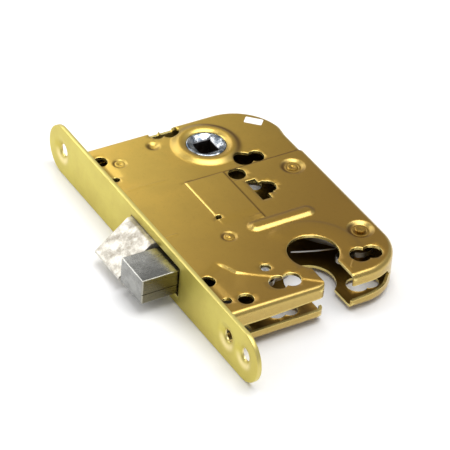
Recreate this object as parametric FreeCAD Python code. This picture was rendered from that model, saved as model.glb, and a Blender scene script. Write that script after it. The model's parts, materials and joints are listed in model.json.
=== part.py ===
import FreeCAD, Part
import math
import os

from FreeCAD import Vector

# A mortise lock for the edge of a door, lying on its side. All sizes are in millimetres.
#
# The origin is on the forend's front face, level with the handle follower, halfway through the case.
#   +X runs down the door, from the follower towards the cylinder
#   +Y runs into the door, from the forend's face towards the back of the case
#   +Z runs through the door's thickness
# Everything along X is measured from the follower's axis, and everything deep in the case along Y is
# measured from the same axis, so the backset can change by itself.

# ---------------------------------------------------------------- overall sizes
BACKSET = 50.0              # forend's face to the follower's axis
CASE_BEHIND = 35.0          # follower's axis to the back of the case
CASE_ABOVE = 18.0           # follower's axis to the top edge of the case
CASE_BELOW = 100.5          # follower's axis to the bottom edge of the case
CASE_THICKNESS = 16.4       # outside to outside of the two shells
FOREND_ABOVE = 42.2         # follower's axis to the forend's top end
FOREND_BELOW = 125.1        # follower's axis to the forend's bottom end
FOREND_WIDTH = 22.0
FOREND_THICKNESS = 2.0

# ---------------------------------------------------------------- sheet metal
SHEET = 1.2
BEND_RADIUS = 2.0           # outside radius of the shells' bent rim
TOP_CORNER_RADIUS = 22.0
BOTTOM_CORNER_RADIUS = 19.0
RIB_WIDTH = 6.0             # the rib pressed in the cover over the dead bolt's plate
RIB_HEIGHT = 0.7
RIB_FROM_AXIS = -11.0
RIB_TO_AXIS = 14.0
SEAM_GAP = 0.3              # between the two shells' rims where they close
SLOT_GAP_LOW = -3.5         # open slit along the bottom edge, from here
SLOT_GAP_HIGH = 1.5         # up to here
SLOT_GAP_REACH = 12.0       # how far the slit runs round the bottom corner, from the back

# ---------------------------------------------------------------- forend
SCREW_ABOVE = 31.3          # follower's axis to the upper fixing screw
SCREW_BELOW = 114.5         # follower's axis to the lower fixing screw
SCREW_INNER = 101.9         # follower's axis to the inner of the two lower screw holes
SCREW_HOLE_RADIUS = 2.7
COUNTERSINK_RADIUS = 4.6
BOLT_SLOT_CLEARANCE = 0.8   # beside the bolts
BOLT_SLOT_HALF_HEIGHT = 6.9

# ---------------------------------------------------------------- latch bolt
LATCH_LOW_X = 27.4
LATCH_WIDTH = 19.2
LATCH_HALF_HEIGHT = 6.5
LATCH_THROW = 16.0          # how far its tip stands out of the forend
LATCH_BODY = 12.0           # length of the head behind the forend's face
LATCH_STRIP = 2.0           # flat top before the bevel starts
LATCH_TIP_HEIGHT = 1.2
TAIL_THICKNESS = 3.0
TAIL_WIDTH = 8.0            # of the step that the tail sits in
TAIL_OVERLAP = 6.0          # how far the tail reaches into the head
LATCH_RIVET_RADIUS = 1.2

# ---------------------------------------------------------------- dead bolt
BOLT_GAP = 1.4              # between the latch bolt and the dead bolt
DEAD_BOLT_WIDTH = 16.9
DEAD_BOLT_HALF_HEIGHT = 5.6
DEAD_BOLT_THROW = 16.0
DEAD_BOLT_BODY = 7.0
GROOVE_DEPTH = 0.2
GROOVE_HEIGHT = 0.4
BOLT_PLATE_THICKNESS = 2.5
BOLT_PLATE_LOW_Z = 1.0
BOLT_PLATE_WIDTH = 13.5
PLATE_START = 0.5           # the plate's front end, inside the head
BOLT_RIVET_RADIUS = 1.3

# ---------------------------------------------------------------- follower
SQUARE = 8.1                # across the flats of the hole for the handle's spindle
HUB_RADIUS = 8.35
HUB_CLEARANCE = 0.1         # radial, in the shells
HUB_PROUD = 0.4             # how far the hub stands out of each shell
ARM_LENGTH = 24.0
ARM_REST_ANGLE = -40.0      # degrees, about +Z from +X
ARM_TIP_RADIUS = 2.0
ARM_WIDTH = 6.0
CATCH_CLEARANCE = 0.6       # between the arm's tip and the latch's catch, at rest
CATCH_THICKNESS = 3.5
BOSS_CREST_WIDTH = 2.25     # from the hub's hole to the boss's crest
BOSS_SLOPE_WIDTH = 4.7      # from the crest down to the boss's foot
BOSS_HEIGHT = 1.2

# ---------------------------------------------------------------- cylinder opening
CYLINDER_X = 80.0
CYLINDER_FROM_AXIS = 2.0    # behind the follower's axis
CYLINDER_RADIUS = 10.5
CYLINDER_SLOT_WIDTH = 12.3

# ---------------------------------------------------------------- pillars and pins
PILLAR_RADIUS = 3.0
STUB_RADIUS = 1.8
STUB_CLEARANCE = 0.03
RIVET_PROUD = 0.25
DIMPLE_RADIUS = 4.3
DIMPLE_DEPTH = 0.5
RUNNING = 0.05              # radial clearance of everything that turns on a pin
SIDE_PLAY = 0.3             # between parts that slide or turn past each other

# ---------------------------------------------------------------- throw lever
THROW_ARM = 23.0
THROW_PIN_RADIUS = 1.5
THROW_THICKNESS = 2.5
THROW_HUB_RADIUS = 6.0
THROW_PIN_AHEAD = 14.9      # from the pivot forward to the pin, with the bolt out
THROW_PIN_PLAY = 0.15       # on each side of the pin in the plate's cross slot
CAM_ARM_LENGTH = 11.0
CAM_ARM_ANGLE = -70.0       # degrees, about +Z from +X

# ---------------------------------------------------------------- tumbler
TUMBLER_X = 80.5
TUMBLER_BEFORE_AXIS = 20.2  # in front of the follower's axis
TUMBLER_HUB_RADIUS = 4.0
TUMBLER_PIN_RADIUS = 1.9
TUMBLER_ARM_WIDTH = 4.0

# ---------------------------------------------------------------- springs
WIRE_FLATS = 8
LATCH_SPRING_RADIUS = 3.2
LATCH_SPRING_WIRE = 0.5     # radius of the wire
LATCH_SPRING_PITCH = 2.4
LATCH_SPRING_LENGTH = 24.0
FOLLOWER_SPRING_WIRE = 0.55
FOLLOWER_SPRING_PITCH = 1.25
TUMBLER_SPRING_WIRE = 0.35
TUMBLER_SPRING_PITCH = 0.85

# ---------------------------------------------------------------- label
LABEL_LENGTH = 7.6
LABEL_WIDTH = 4.2
LABEL_THICKNESS = 0.1

# ---------------------------------------------------------------- places worked out from the sizes above
CASE_TOP_X = -CASE_ABOVE
CASE_BOTTOM_X = CASE_BELOW
CASE_BACK_Y = BACKSET + CASE_BEHIND
CASE_FRONT_Y = FOREND_THICKNESS
HALF = CASE_THICKNESS / 2
INNER = HALF - SHEET
CYLINDER_Y = BACKSET + CYLINDER_FROM_AXIS
HUB_HOLE_RADIUS = HUB_RADIUS + HUB_CLEARANCE
BOSS_CREST_RADIUS = HUB_HOLE_RADIUS + BOSS_CREST_WIDTH
BOSS_FOOT_RADIUS = BOSS_CREST_RADIUS + BOSS_SLOPE_WIDTH
DEAD_BOLT_LOW_X = LATCH_LOW_X + LATCH_WIDTH + BOLT_GAP
PLATE_TOP_Z = BOLT_PLATE_LOW_Z + BOLT_PLATE_THICKNESS
THROW_TOP_Z = BOLT_PLATE_LOW_Z - SIDE_PLAY
THROW_LOW_Z = THROW_TOP_Z - THROW_THICKNESS

PILLARS = {
    "pillar_front_top": (-3.6, 11.6),
    "pillar_front_bottom": (DEAD_BOLT_LOW_X + 9.3, DEAD_BOLT_THROW + DEAD_BOLT_BODY + PILLAR_RADIUS + 1.1),
    "pillar_rear_top": (28.0, CASE_BACK_Y - 10.5),
    "pillar_rear_bottom": (DEAD_BOLT_LOW_X + 27.7, CASE_BACK_Y - 8.3),
}

UP = Vector(0, 0, 1)
INWARD = Vector(0, 1, 0)


def box(low, high):
    """A block between two corners."""
    size = [b - a for a, b in zip(low, high)]
    return Part.makeBox(size[0], size[1], size[2], Vector(*low))


def post(x, y, radius, low, high):
    """A round post along Z."""
    return Part.makeCylinder(radius, high - low, Vector(x, y, low), UP)


def bar_along_y(x, z, radius, low, high):
    """A round bar along Y."""
    return Part.makeCylinder(radius, high - low, Vector(x, low, z), INWARD)


def ring_solid(profile, x, y):
    """A closed profile of (radius, z) points, turned about a Z axis at (x, y)."""
    corners = [Vector(x + radius, y, z) for radius, z in profile]
    face = Part.Face(Part.makePolygon(corners + corners[:1]))
    return face.revolve(Vector(x, y, 0), UP, 360)


def arm(start, end, width, low, high):
    """A flat arm with round ends between two points."""
    length = math.dist(start, end)
    angle = math.degrees(math.atan2(end[1] - start[1], end[0] - start[0]))
    body = box((0, -width / 2, low), (length, width / 2, high))
    body.rotate(Vector(), UP, angle)
    body.translate(Vector(start[0], start[1], 0))
    ends = [post(x, y, width / 2, low, high) for x, y in (start, end)]
    return body.fuse(ends).removeSplitter()


def polar(centre, length, angle):
    """A point at a length and an angle, in degrees, from a centre."""
    turn = math.radians(angle)
    return (centre[0] + length * math.cos(turn), centre[1] + length * math.sin(turn))


def coil(radius, wire, pitch, height):
    """A wire of eight flats wound along Z from the origin."""
    helix = Part.makeHelix(pitch, height, radius)
    corners = []
    for side in range(WIRE_FLATS + 1):
        turn = 2 * math.pi * side / WIRE_FLATS
        corners.append(Vector(radius + wire * math.cos(turn), 0, wire * math.sin(turn)))
    return Part.Wire(helix.Edges).makePipeShell([Part.makePolygon(corners)], True, True)


def case_outline(inset, front, low, high):
    """The case seen from the side, drawn in by an inset and open or closed at the front."""
    top = CASE_TOP_X + inset
    bottom = CASE_BOTTOM_X - inset
    back = CASE_BACK_Y - inset
    big = TOP_CORNER_RADIUS - inset
    small = BOTTOM_CORNER_RADIUS - inset
    slant = 1 - math.sqrt(0.5)

    def at(x, y):
        return Vector(x, y, low)

    edges = [
        Part.LineSegment(at(bottom, front), at(top, front)),
        Part.LineSegment(at(top, front), at(top, back - big)),
        Part.Arc(at(top, back - big), at(top + big * slant, back - big * slant), at(top + big, back)),
        Part.LineSegment(at(top + big, back), at(bottom - small, back)),
        Part.Arc(
            at(bottom - small, back),
            at(bottom - small * slant, back - small * slant),
            at(bottom, back - small),
        ),
        Part.LineSegment(at(bottom, back - small), at(bottom, front)),
    ]
    wire = Part.Wire([edge.toShape() for edge in edges])
    return Part.Face(wire).extrude(UP * (high - low))


def round_rim(solid, level, front, radius):
    """The solid with its edges at one level rounded, except the one along the front."""
    chosen = []
    for edge in solid.Edges:
        heights = [vertex.Z for vertex in edge.Vertexes]
        depths = [vertex.Y for vertex in edge.Vertexes]
        level_edge = all(abs(z - level) < 1e-6 for z in heights)
        front_edge = all(abs(y - front) < 1e-6 for y in depths)
        if level_edge and not front_edge:
            chosen.append(edge)
    return solid.makeFillet(radius, chosen)


def figure_eight(first, second, low, high):
    """Two round holes that run into each other, each given as x, y and radius."""
    return [post(x, y, radius, low, high) for x, y, radius in (first, second)]


def cylinder_cut(low, high):
    """The round opening for a lock cylinder and the slot that leads to the bottom edge."""
    half = CYLINDER_SLOT_WIDTH / 2
    slot = box((CYLINDER_X, CYLINDER_Y - half, low), (CASE_BOTTOM_X + 5, CYLINDER_Y + half, high))
    return [post(CYLINDER_X, CYLINDER_Y, CYLINDER_RADIUS, low, high), slot]


def screw_ways(low, high):
    """Ways for the handle's and the cylinder rose's screws, as groups of round holes."""
    ways = []
    for side in (1, -1):
        inner = (side * 14.7, BACKSET + side * 9.1, 4.25)
        outer = (side * 15.3, BACKSET + side * 14.8, 3.55)
        ways += figure_eight(inner, outer, low, high)
    front = (CYLINDER_X + 10.4, CYLINDER_Y - 22.3, 3.9), (CYLINDER_X + 11.1, CYLINDER_Y - 16.7, 3.85)
    rear = (CYLINDER_X + 9.7, CYLINDER_Y + 15.8, 4.4), (CYLINDER_X + 10.1, CYLINDER_Y + 21.1, 4.1)
    ways += figure_eight(*front, low, high)
    ways += figure_eight(*rear, low, high)
    return ways


def key_way(low, high):
    """The opening for a bitted key: a cross slot with a round middle."""
    slot = box((28.7, BACKSET + 1.6, low), (42.5, BACKSET + 6.0, high))
    middle = post(35.5, BACKSET + 8.0, 3.7, low, high)
    bits = box((31.4, BACKSET + 5.0, low), (39.6, BACKSET + 8.6, high))
    return [slot, middle, bits]


def small_holes(low, high):
    """The small round holes of both shells."""
    holes = [
        (22.8, BACKSET + 1.2, 3.7),
        (TUMBLER_X, BACKSET - TUMBLER_BEFORE_AXIS, 2.2),
        (93.8, 13.1, 3.25),
        (91.5, 6.0, 2.0),
        (78.0, 5.6, 2.9),
        (-8.2, 5.3, 2.9),
        (5.2, 5.0, 1.7),
        (44.9, BACKSET - 20.4, 1.3),
    ]
    return [post(x, y, radius, low, high) for x, y, radius in holes]


def bottom_slit(low, high):
    """The part of the open slit between the rims that lies in one shell."""
    reach = CASE_BACK_Y - SLOT_GAP_REACH
    depth = BOTTOM_CORNER_RADIUS * 0.7
    return box((CASE_BOTTOM_X - depth, CASE_FRONT_Y, low), (CASE_BOTTOM_X + 1, reach, high))


def build_cover():
    """The upper shell, with its pressed boss and rib."""
    outer = case_outline(0, CASE_FRONT_Y, SEAM_GAP / 2, HALF)
    outer = round_rim(outer, HALF, CASE_FRONT_Y, BEND_RADIUS)
    inner = case_outline(SHEET, CASE_FRONT_Y - 1, -1, INNER)
    inner = round_rim(inner, INNER, CASE_FRONT_Y - 1, BEND_RADIUS - SHEET)
    shell = outer.cut(inner)
    boss = ring_solid(boss_profile(), 0, BACKSET)
    rib_x = DEAD_BOLT_LOW_X + DEAD_BOLT_WIDTH / 2 - 0.5
    ends = [(rib_x, BACKSET + RIB_FROM_AXIS), (rib_x, BACKSET + RIB_TO_AXIS)]
    rib = arm(*ends, RIB_WIDTH, HALF - 0.2, HALF + RIB_HEIGHT)
    shell = shell.fuse([boss, rib])
    cuts = [bottom_slit(SEAM_GAP / 2 - 1, SLOT_GAP_HIGH)]
    return shell.cut(cuts + shell_cuts()).removeSplitter()


def build_base():
    """The lower shell, the cover's mirror image but for its rib and the height of its rim."""
    outer = case_outline(0, CASE_FRONT_Y, SEAM_GAP / 2, HALF)
    outer = round_rim(outer, HALF, CASE_FRONT_Y, BEND_RADIUS)
    inner = case_outline(SHEET, CASE_FRONT_Y - 1, -1, INNER)
    inner = round_rim(inner, INNER, CASE_FRONT_Y - 1, BEND_RADIUS - SHEET)
    shell = outer.cut(inner).fuse(ring_solid(boss_profile(), 0, BACKSET))
    cuts = [bottom_slit(SEAM_GAP / 2 - 1, -SLOT_GAP_LOW)]
    shell = shell.cut(cuts + shell_cuts()).removeSplitter()
    return shell.mirror(Vector(), UP)


def boss_profile():
    """The raised ring round the follower, as radius and height."""
    bore = HUB_HOLE_RADIUS
    return [
        (bore, HALF - SHEET),
        (bore + 2, HALF - SHEET),
        (bore + 2, HALF - SHEET / 2),
        (BOSS_FOOT_RADIUS, HALF - SHEET / 2),
        (BOSS_FOOT_RADIUS, HALF),
        (BOSS_CREST_RADIUS + 1.2, HALF + BOSS_HEIGHT * 0.85),
        (BOSS_CREST_RADIUS, HALF + BOSS_HEIGHT),
        (BOSS_CREST_RADIUS - 1.2, HALF + BOSS_HEIGHT * 0.85),
        (bore, HALF + BOSS_HEIGHT * 0.3),
    ]


def shell_cuts():
    """Everything that is cut through or pressed into one shell. The cylinder's way cuts its rim too."""
    low = INNER - 0.5
    high = HALF + 3
    cuts = cylinder_cut(-1, high) + screw_ways(low, high) + key_way(low, high) + small_holes(low, high)
    cuts.append(post(0, BACKSET, HUB_HOLE_RADIUS, low, high))
    for x, y in PILLARS.values():
        cuts.append(post(x, y, STUB_RADIUS + STUB_CLEARANCE, low, high))
        cuts.append(post(x, y, DIMPLE_RADIUS, HALF - DIMPLE_DEPTH, high))
    return cuts


def build_forend():
    """The long face plate with round ends, a bolt slot and three countersunk screw holes."""
    end = FOREND_WIDTH / 2
    low_x = -FOREND_ABOVE + end
    high_x = FOREND_BELOW - end
    plate = box((low_x, 0, -end), (high_x, FOREND_THICKNESS, end))
    ends = [bar_along_y(x, 0, end, 0, FOREND_THICKNESS) for x in (low_x, high_x)]
    plate = plate.fuse(ends).removeSplitter()
    cuts = []
    for x in (-SCREW_ABOVE, SCREW_INNER, SCREW_BELOW):
        cuts.append(bar_along_y(x, 0, SCREW_HOLE_RADIUS, -1, FOREND_THICKNESS + 1))
        depth = COUNTERSINK_RADIUS - SCREW_HOLE_RADIUS
        cone = Part.makeCone(COUNTERSINK_RADIUS, SCREW_HOLE_RADIUS, min(depth, FOREND_THICKNESS - 0.4))
        cone.rotate(Vector(), Vector(1, 0, 0), -90)
        cone.translate(Vector(x, 0, 0))
        cuts.append(cone)
    slot_low = LATCH_LOW_X - BOLT_SLOT_CLEARANCE
    slot_high = DEAD_BOLT_LOW_X + DEAD_BOLT_WIDTH + BOLT_SLOT_CLEARANCE
    low = (slot_low, -1, -BOLT_SLOT_HALF_HEIGHT)
    cuts.append(box(low, (slot_high, FOREND_THICKNESS + 1, BOLT_SLOT_HALF_HEIGHT)))
    return plate.cut(cuts)


def build_bracket(low_x, high_x):
    """A block behind the forend that carries the case, as deep as the front pillar that it may lean on."""
    inside = INNER - STUB_CLEARANCE
    x, y = PILLARS["pillar_front_top"]
    block = box((low_x, FOREND_THICKNESS, -inside), (high_x, y, inside))
    return block.cut(post(x, y, PILLAR_RADIUS + STUB_CLEARANCE, -HALF, HALF))


def build_pillar(x, y):
    """A shouldered post that holds the shells apart and is riveted over outside."""
    face = HALF - DIMPLE_DEPTH
    body = post(x, y, PILLAR_RADIUS, -INNER, INNER)
    stub = post(x, y, STUB_RADIUS, -face - RIVET_PROUD, face + RIVET_PROUD)
    return body.fuse(stub).removeSplitter()


def build_latch_head():
    """The bevelled latch bolt, with a groove at the back for its tail and a bore for its spring."""
    tip = -LATCH_THROW
    profile = [
        (LATCH_BODY, -LATCH_HALF_HEIGHT),
        (tip, -LATCH_HALF_HEIGHT),
        (tip, -LATCH_HALF_HEIGHT + LATCH_TIP_HEIGHT),
        (-LATCH_STRIP, LATCH_HALF_HEIGHT),
        (LATCH_BODY, LATCH_HALF_HEIGHT),
    ]
    corners = [Vector(LATCH_LOW_X, y, z) for y, z in profile]
    face = Part.Face(Part.makePolygon(corners + corners[:1]))
    head = face.extrude(Vector(LATCH_WIDTH, 0, 0))
    half = TAIL_THICKNESS / 2
    start = (LATCH_LOW_X - 1, LATCH_BODY - TAIL_OVERLAP, -half)
    groove = box(start, (LATCH_LOW_X + TAIL_WIDTH, LATCH_BODY + 1, half))
    rivet = latch_rivet(HALF)
    spring = bar_along_y(latch_spring_x(), 0, LATCH_SPRING_RADIUS + 1.0, LATCH_BODY - 4, LATCH_BODY + 1)
    return head.cut([groove, rivet, spring])


def latch_spring_x():
    """Where the latch spring's axis lies along X."""
    return LATCH_LOW_X + LATCH_WIDTH - LATCH_SPRING_RADIUS - 2.0


def arm_tip(angle):
    """The centre of the follower arm's round tip at an angle."""
    return polar((0, BACKSET), ARM_LENGTH, angle)


def build_latch_tail():
    """The flat bar behind the latch, with a catch that the follower's arm pulls back."""
    half = TAIL_THICKNESS / 2
    tip_x, tip_y = arm_tip(ARM_REST_ANGLE)
    catch_low = tip_y + ARM_TIP_RADIUS + CATCH_CLEARANCE
    catch_high = catch_low + CATCH_THICKNESS
    bar_low = ARM_LENGTH + ARM_TIP_RADIUS + 1.4
    bar_high = LATCH_LOW_X + TAIL_WIDTH
    bar = box((bar_low, LATCH_BODY - TAIL_OVERLAP, -half), (bar_high, catch_high, half))
    catch = box((tip_x + ARM_TIP_RADIUS + 0.1, catch_low, -half), (bar_low + 1, catch_high, half))
    tail = bar.fuse(catch).removeSplitter()
    return tail.cut(latch_rivet(HALF))


def latch_rivet(half):
    """The pin that joins the latch's head and tail."""
    x = LATCH_LOW_X + TAIL_WIDTH / 2
    return post(x, LATCH_BODY - TAIL_OVERLAP / 2, LATCH_RIVET_RADIUS, -half, half)


def build_latch_spring():
    """The coil spring that pushes the latch out."""
    spring = coil(LATCH_SPRING_RADIUS, LATCH_SPRING_WIRE, LATCH_SPRING_PITCH, LATCH_SPRING_LENGTH)
    spring.rotate(Vector(), Vector(1, 0, 0), -90)
    start = LATCH_BODY - 4 + LATCH_SPRING_WIRE + 0.05
    spring.translate(Vector(latch_spring_x(), start, 0))
    return spring


def build_spring_seat():
    """The bent lug that the latch spring pushes against."""
    x = latch_spring_x()
    low = LATCH_BODY - 4 + LATCH_SPRING_LENGTH + 2 * LATCH_SPRING_WIRE + 0.1
    wall = box((x - 4.5, low, -INNER), (x + 4.5, low + SHEET, 4.2))
    foot = box((x - 4.5, low, -INNER), (x + 4.5, low + 7, -INNER + SHEET))
    guide = bar_along_y(x, 0, 2.0, low - 4.5, low + 0.2)
    return wall.fuse([foot, guide]).removeSplitter()


def build_follower():
    """The round hub with the square hole for the handle's spindle."""
    high = HALF + HUB_PROUD
    chamfer = 0.5
    profile = [
        (0, -high),
        (HUB_RADIUS - chamfer, -high),
        (HUB_RADIUS, -high + chamfer),
        (HUB_RADIUS, high - chamfer),
        (HUB_RADIUS - chamfer, high),
        (0, high),
    ]
    hub = ring_solid(profile, 0, BACKSET)
    half = SQUARE / 2
    square = box((-half, BACKSET - half, -high - 1), (half, BACKSET + half, high + 1))
    return hub.cut(square)


def build_follower_lever():
    """The plate pressed on the hub, whose arm pulls the latch back."""
    low = -TAIL_THICKNESS / 2
    high = -low
    centre = (0, BACKSET)
    disc = post(0, BACKSET, HUB_RADIUS + 3, low, high)
    reach = arm(centre, arm_tip(ARM_REST_ANGLE), ARM_TIP_RADIUS * 2, low, high)
    web = arm(centre, polar(centre, ARM_LENGTH * 0.6, ARM_REST_ANGLE), ARM_WIDTH, low, high)
    hole = post(0, BACKSET, HUB_RADIUS, low - 1, high + 1)
    return disc.fuse([reach, web]).cut(hole).removeSplitter()


def build_follower_spring():
    """The coil round the hub that brings the handle back."""
    radius = HUB_RADIUS + FOLLOWER_SPRING_WIRE + 0.5
    low = TAIL_THICKNESS / 2 + FOLLOWER_SPRING_WIRE + 0.1
    height = INNER - FOLLOWER_SPRING_WIRE - 0.1 - low
    spring = coil(radius, FOLLOWER_SPRING_WIRE, FOLLOWER_SPRING_PITCH, height)
    spring.translate(Vector(0, BACKSET, low))
    return spring


def build_dead_bolt_head():
    """The square dead bolt, grooved along its sides and slotted at the back for its plate."""
    low_x = DEAD_BOLT_LOW_X
    high_x = low_x + DEAD_BOLT_WIDTH
    half = DEAD_BOLT_HALF_HEIGHT
    head = box((low_x, -DEAD_BOLT_THROW, -half), (high_x, DEAD_BOLT_BODY, half))
    groove_z = -half * 0.25
    start = (low_x - 1, PLATE_START, BOLT_PLATE_LOW_Z)
    cuts = [box(start, (high_x + 1, DEAD_BOLT_BODY + 1, PLATE_TOP_Z))]
    for start, end in ((low_x - 1, low_x + GROOVE_DEPTH), (high_x - GROOVE_DEPTH, high_x + 1)):
        low = (start, -DEAD_BOLT_THROW - 1, groove_z)
        cuts.append(box(low, (end, DEAD_BOLT_BODY + 1, groove_z + GROOVE_HEIGHT)))
    return head.cut(cuts + dead_bolt_rivets(HALF))


def dead_bolt_rivets(half):
    """The two rivets that join the dead bolt's head to its plate."""
    y = (PLATE_START + DEAD_BOLT_BODY) / 2
    inset = 3.5
    places = (DEAD_BOLT_LOW_X + inset, DEAD_BOLT_LOW_X + DEAD_BOLT_WIDTH - inset)
    return [post(x, y, BOLT_RIVET_RADIUS, -half, half) for x in places]


def throw_pivot():
    """The throw lever turns on the bottom rear pillar."""
    return PILLARS["pillar_rear_bottom"]


def throw_angles():
    """The throw lever's angle with the bolt out and with the bolt in, in degrees."""
    rest = -math.asin(THROW_PIN_AHEAD / THROW_ARM)
    end = math.asin((DEAD_BOLT_THROW - THROW_PIN_AHEAD) / THROW_ARM)
    return math.degrees(rest), math.degrees(end)


def throw_lag():
    """How far the pin, on its arc, falls behind the plate's even travel halfway through the throw."""
    rest, end = throw_angles()
    middle = THROW_ARM * math.sin(math.radians((rest + end) / 2)) + THROW_PIN_AHEAD
    return DEAD_BOLT_THROW / 2 - middle


def throw_pin(angle):
    """The centre of the throw lever's pin, whose arm points towards the top of the lock."""
    pivot = throw_pivot()
    turn = math.radians(angle)
    return (pivot[0] - THROW_ARM * math.cos(turn), pivot[1] + THROW_ARM * math.sin(turn))


def build_dead_bolt_plate():
    """The plate behind the dead bolt: a slot rides on a pillar, a cross slot takes the throw pin."""
    rest, end = throw_angles()
    pin = throw_pin(rest)
    pin_in = throw_pin(end)
    low_x = DEAD_BOLT_LOW_X + 1.0
    high_x = low_x + BOLT_PLATE_WIDTH
    plate = box((low_x, PLATE_START, BOLT_PLATE_LOW_Z), (high_x, pin[1] + 4.5, PLATE_TOP_Z))
    guide = PILLARS["pillar_front_bottom"]
    reach = PILLAR_RADIUS + SIDE_PLAY
    start = (guide[0], guide[1] - DEAD_BOLT_THROW)
    cuts = [arm(start, guide, 2 * reach, 0, HALF)]
    lag = throw_lag()
    width = 2 * (THROW_PIN_RADIUS + THROW_PIN_PLAY) + lag
    slot_y = pin[1] - lag / 2
    cuts.append(arm((pin_in[0], slot_y), (pin[0], slot_y), width, 0, HALF))
    return plate.cut(cuts + dead_bolt_rivets(HALF))


def build_throw_lever():
    """The lever that the cylinder's cam turns to move the dead bolt."""
    rest = throw_angles()[0]
    pivot = throw_pivot()
    low = THROW_LOW_Z
    high = THROW_TOP_Z
    hub = post(pivot[0], pivot[1], THROW_HUB_RADIUS, low, high)
    pin = throw_pin(rest)
    lift = arm(pivot, pin, 6.0, low, high)
    cam = arm(pivot, polar(pivot, CAM_ARM_LENGTH, CAM_ARM_ANGLE), 5.0, low, high)
    hole = post(pivot[0], pivot[1], PILLAR_RADIUS + RUNNING, low - 1, high + 1)
    pin_hole = post(pin[0], pin[1], THROW_PIN_RADIUS, low - 1, high + 1)
    return hub.fuse([lift, cam]).cut([hole, pin_hole]).removeSplitter()


def build_throw_pin():
    """The pin in the throw lever's tip, which reaches through the dead bolt's plate."""
    pin = throw_pin(throw_angles()[0])
    return post(pin[0], pin[1], THROW_PIN_RADIUS, THROW_LOW_Z, PLATE_TOP_Z + 0.6)


def tumbler_centre():
    """Where the tumbler's pin stands."""
    return (TUMBLER_X, BACKSET - TUMBLER_BEFORE_AXIS)


def build_tumbler_lever():
    """The sprung lever beside the dead bolt's plate, lifted by the cylinder's cam."""
    centre = tumbler_centre()
    low = BOLT_PLATE_LOW_Z
    high = PLATE_TOP_Z
    width = TUMBLER_ARM_WIDTH
    plate_edge = DEAD_BOLT_LOW_X + 1.0 + BOLT_PLATE_WIDTH
    nose = (plate_edge + SIDE_PLAY + width / 2, centre[1] + 1.2)
    cam_reach = CYLINDER_Y - CYLINDER_RADIUS - 1.0 - width / 2
    hub = post(centre[0], centre[1], TUMBLER_HUB_RADIUS, low, high)
    arms = [arm(centre, nose, width, low, high), arm(centre, (centre[0], cam_reach), width, low, high)]
    hole = post(centre[0], centre[1], TUMBLER_PIN_RADIUS + RUNNING, low - 1, high + 1)
    return hub.fuse(arms).cut(hole).removeSplitter()


def build_tumbler_pin():
    """The pin that the tumbler turns on, standing on the lower shell."""
    centre = tumbler_centre()
    foot = post(centre[0], centre[1], PILLAR_RADIUS, -INNER, -INNER + 1.5)
    stem = post(centre[0], centre[1], TUMBLER_PIN_RADIUS, -INNER, PLATE_TOP_Z + 1.5)
    return foot.fuse(stem).removeSplitter()


def build_tumbler_spring():
    """The small coil round the tumbler's pin."""
    centre = tumbler_centre()
    radius = TUMBLER_PIN_RADIUS + TUMBLER_SPRING_WIRE + 0.3
    low = -INNER + 1.5 + TUMBLER_SPRING_WIRE + 0.05
    height = BOLT_PLATE_LOW_Z - TUMBLER_SPRING_WIRE - 0.05 - low
    spring = coil(radius, TUMBLER_SPRING_WIRE, TUMBLER_SPRING_PITCH, height)
    spring.translate(Vector(centre[0], centre[1], low))
    return spring


def build_label():
    """A small blank sticker on the cover, near the top rear corner."""
    half = LABEL_LENGTH / 2
    wide = LABEL_WIDTH / 2
    label = box((-half, -wide, 0), (half, wide, LABEL_THICKNESS))
    label.rotate(Vector(), UP, 46)
    label.translate(Vector(-6.0, BACKSET + 26.3, HALF))
    return label


def build_all():
    """Every piece of the lock, by name."""
    parts = {
        "forend": build_forend(),
        "case_cover": build_cover(),
        "case_base": build_base(),
        "forend_bracket_top": build_bracket(-5.2, 3.3),
        "forend_bracket_bottom": build_bracket(81.6, 88.8),
        "latch_head": build_latch_head(),
        "latch_tail": build_latch_tail(),
        "latch_rivet": latch_rivet(LATCH_HALF_HEIGHT),
        "latch_spring": build_latch_spring(),
        "latch_spring_seat": build_spring_seat(),
        "follower_hub": build_follower(),
        "follower_lever": build_follower_lever(),
        "follower_spring": build_follower_spring(),
        "dead_bolt_head": build_dead_bolt_head(),
        "dead_bolt_plate": build_dead_bolt_plate(),
        "dead_bolt_rivets": Part.Compound(dead_bolt_rivets(DEAD_BOLT_HALF_HEIGHT)),
        "throw_lever": build_throw_lever(),
        "throw_pin": build_throw_pin(),
        "tumbler_lever": build_tumbler_lever(),
        "tumbler_pin": build_tumbler_pin(),
        "tumbler_spring": build_tumbler_spring(),
        "label": build_label(),
    }
    for name, (x, y) in PILLARS.items():
        parts[name] = build_pillar(x, y)
    return parts


def main():
    """Write one STEP file for each piece."""
    os.makedirs("parts", exist_ok=True)
    for name, shape in build_all().items():
        shape.exportStep(os.path.join("parts", name + ".step"))
        print(f"{name}: {len(shape.Solids)} solid, {shape.Volume:.1f} mm3, valid {shape.isValid()}")


main()
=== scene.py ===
"""A mortise lock lying on its side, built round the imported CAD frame.

Every size in this file is in millimetres unless it says otherwise. +X runs down the door, +Y into the door
and +Z through its thickness, as in the CAD.
"""

import json
import logging
import math
from collections.abc import Callable, Iterable, Sequence
from dataclasses import dataclass, field
from enum import Enum

import bmesh
import bpy
import numpy as np
from mathutils import Matrix, Vector
from mathutils.geometry import delaunay_2d_cdt


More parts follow.
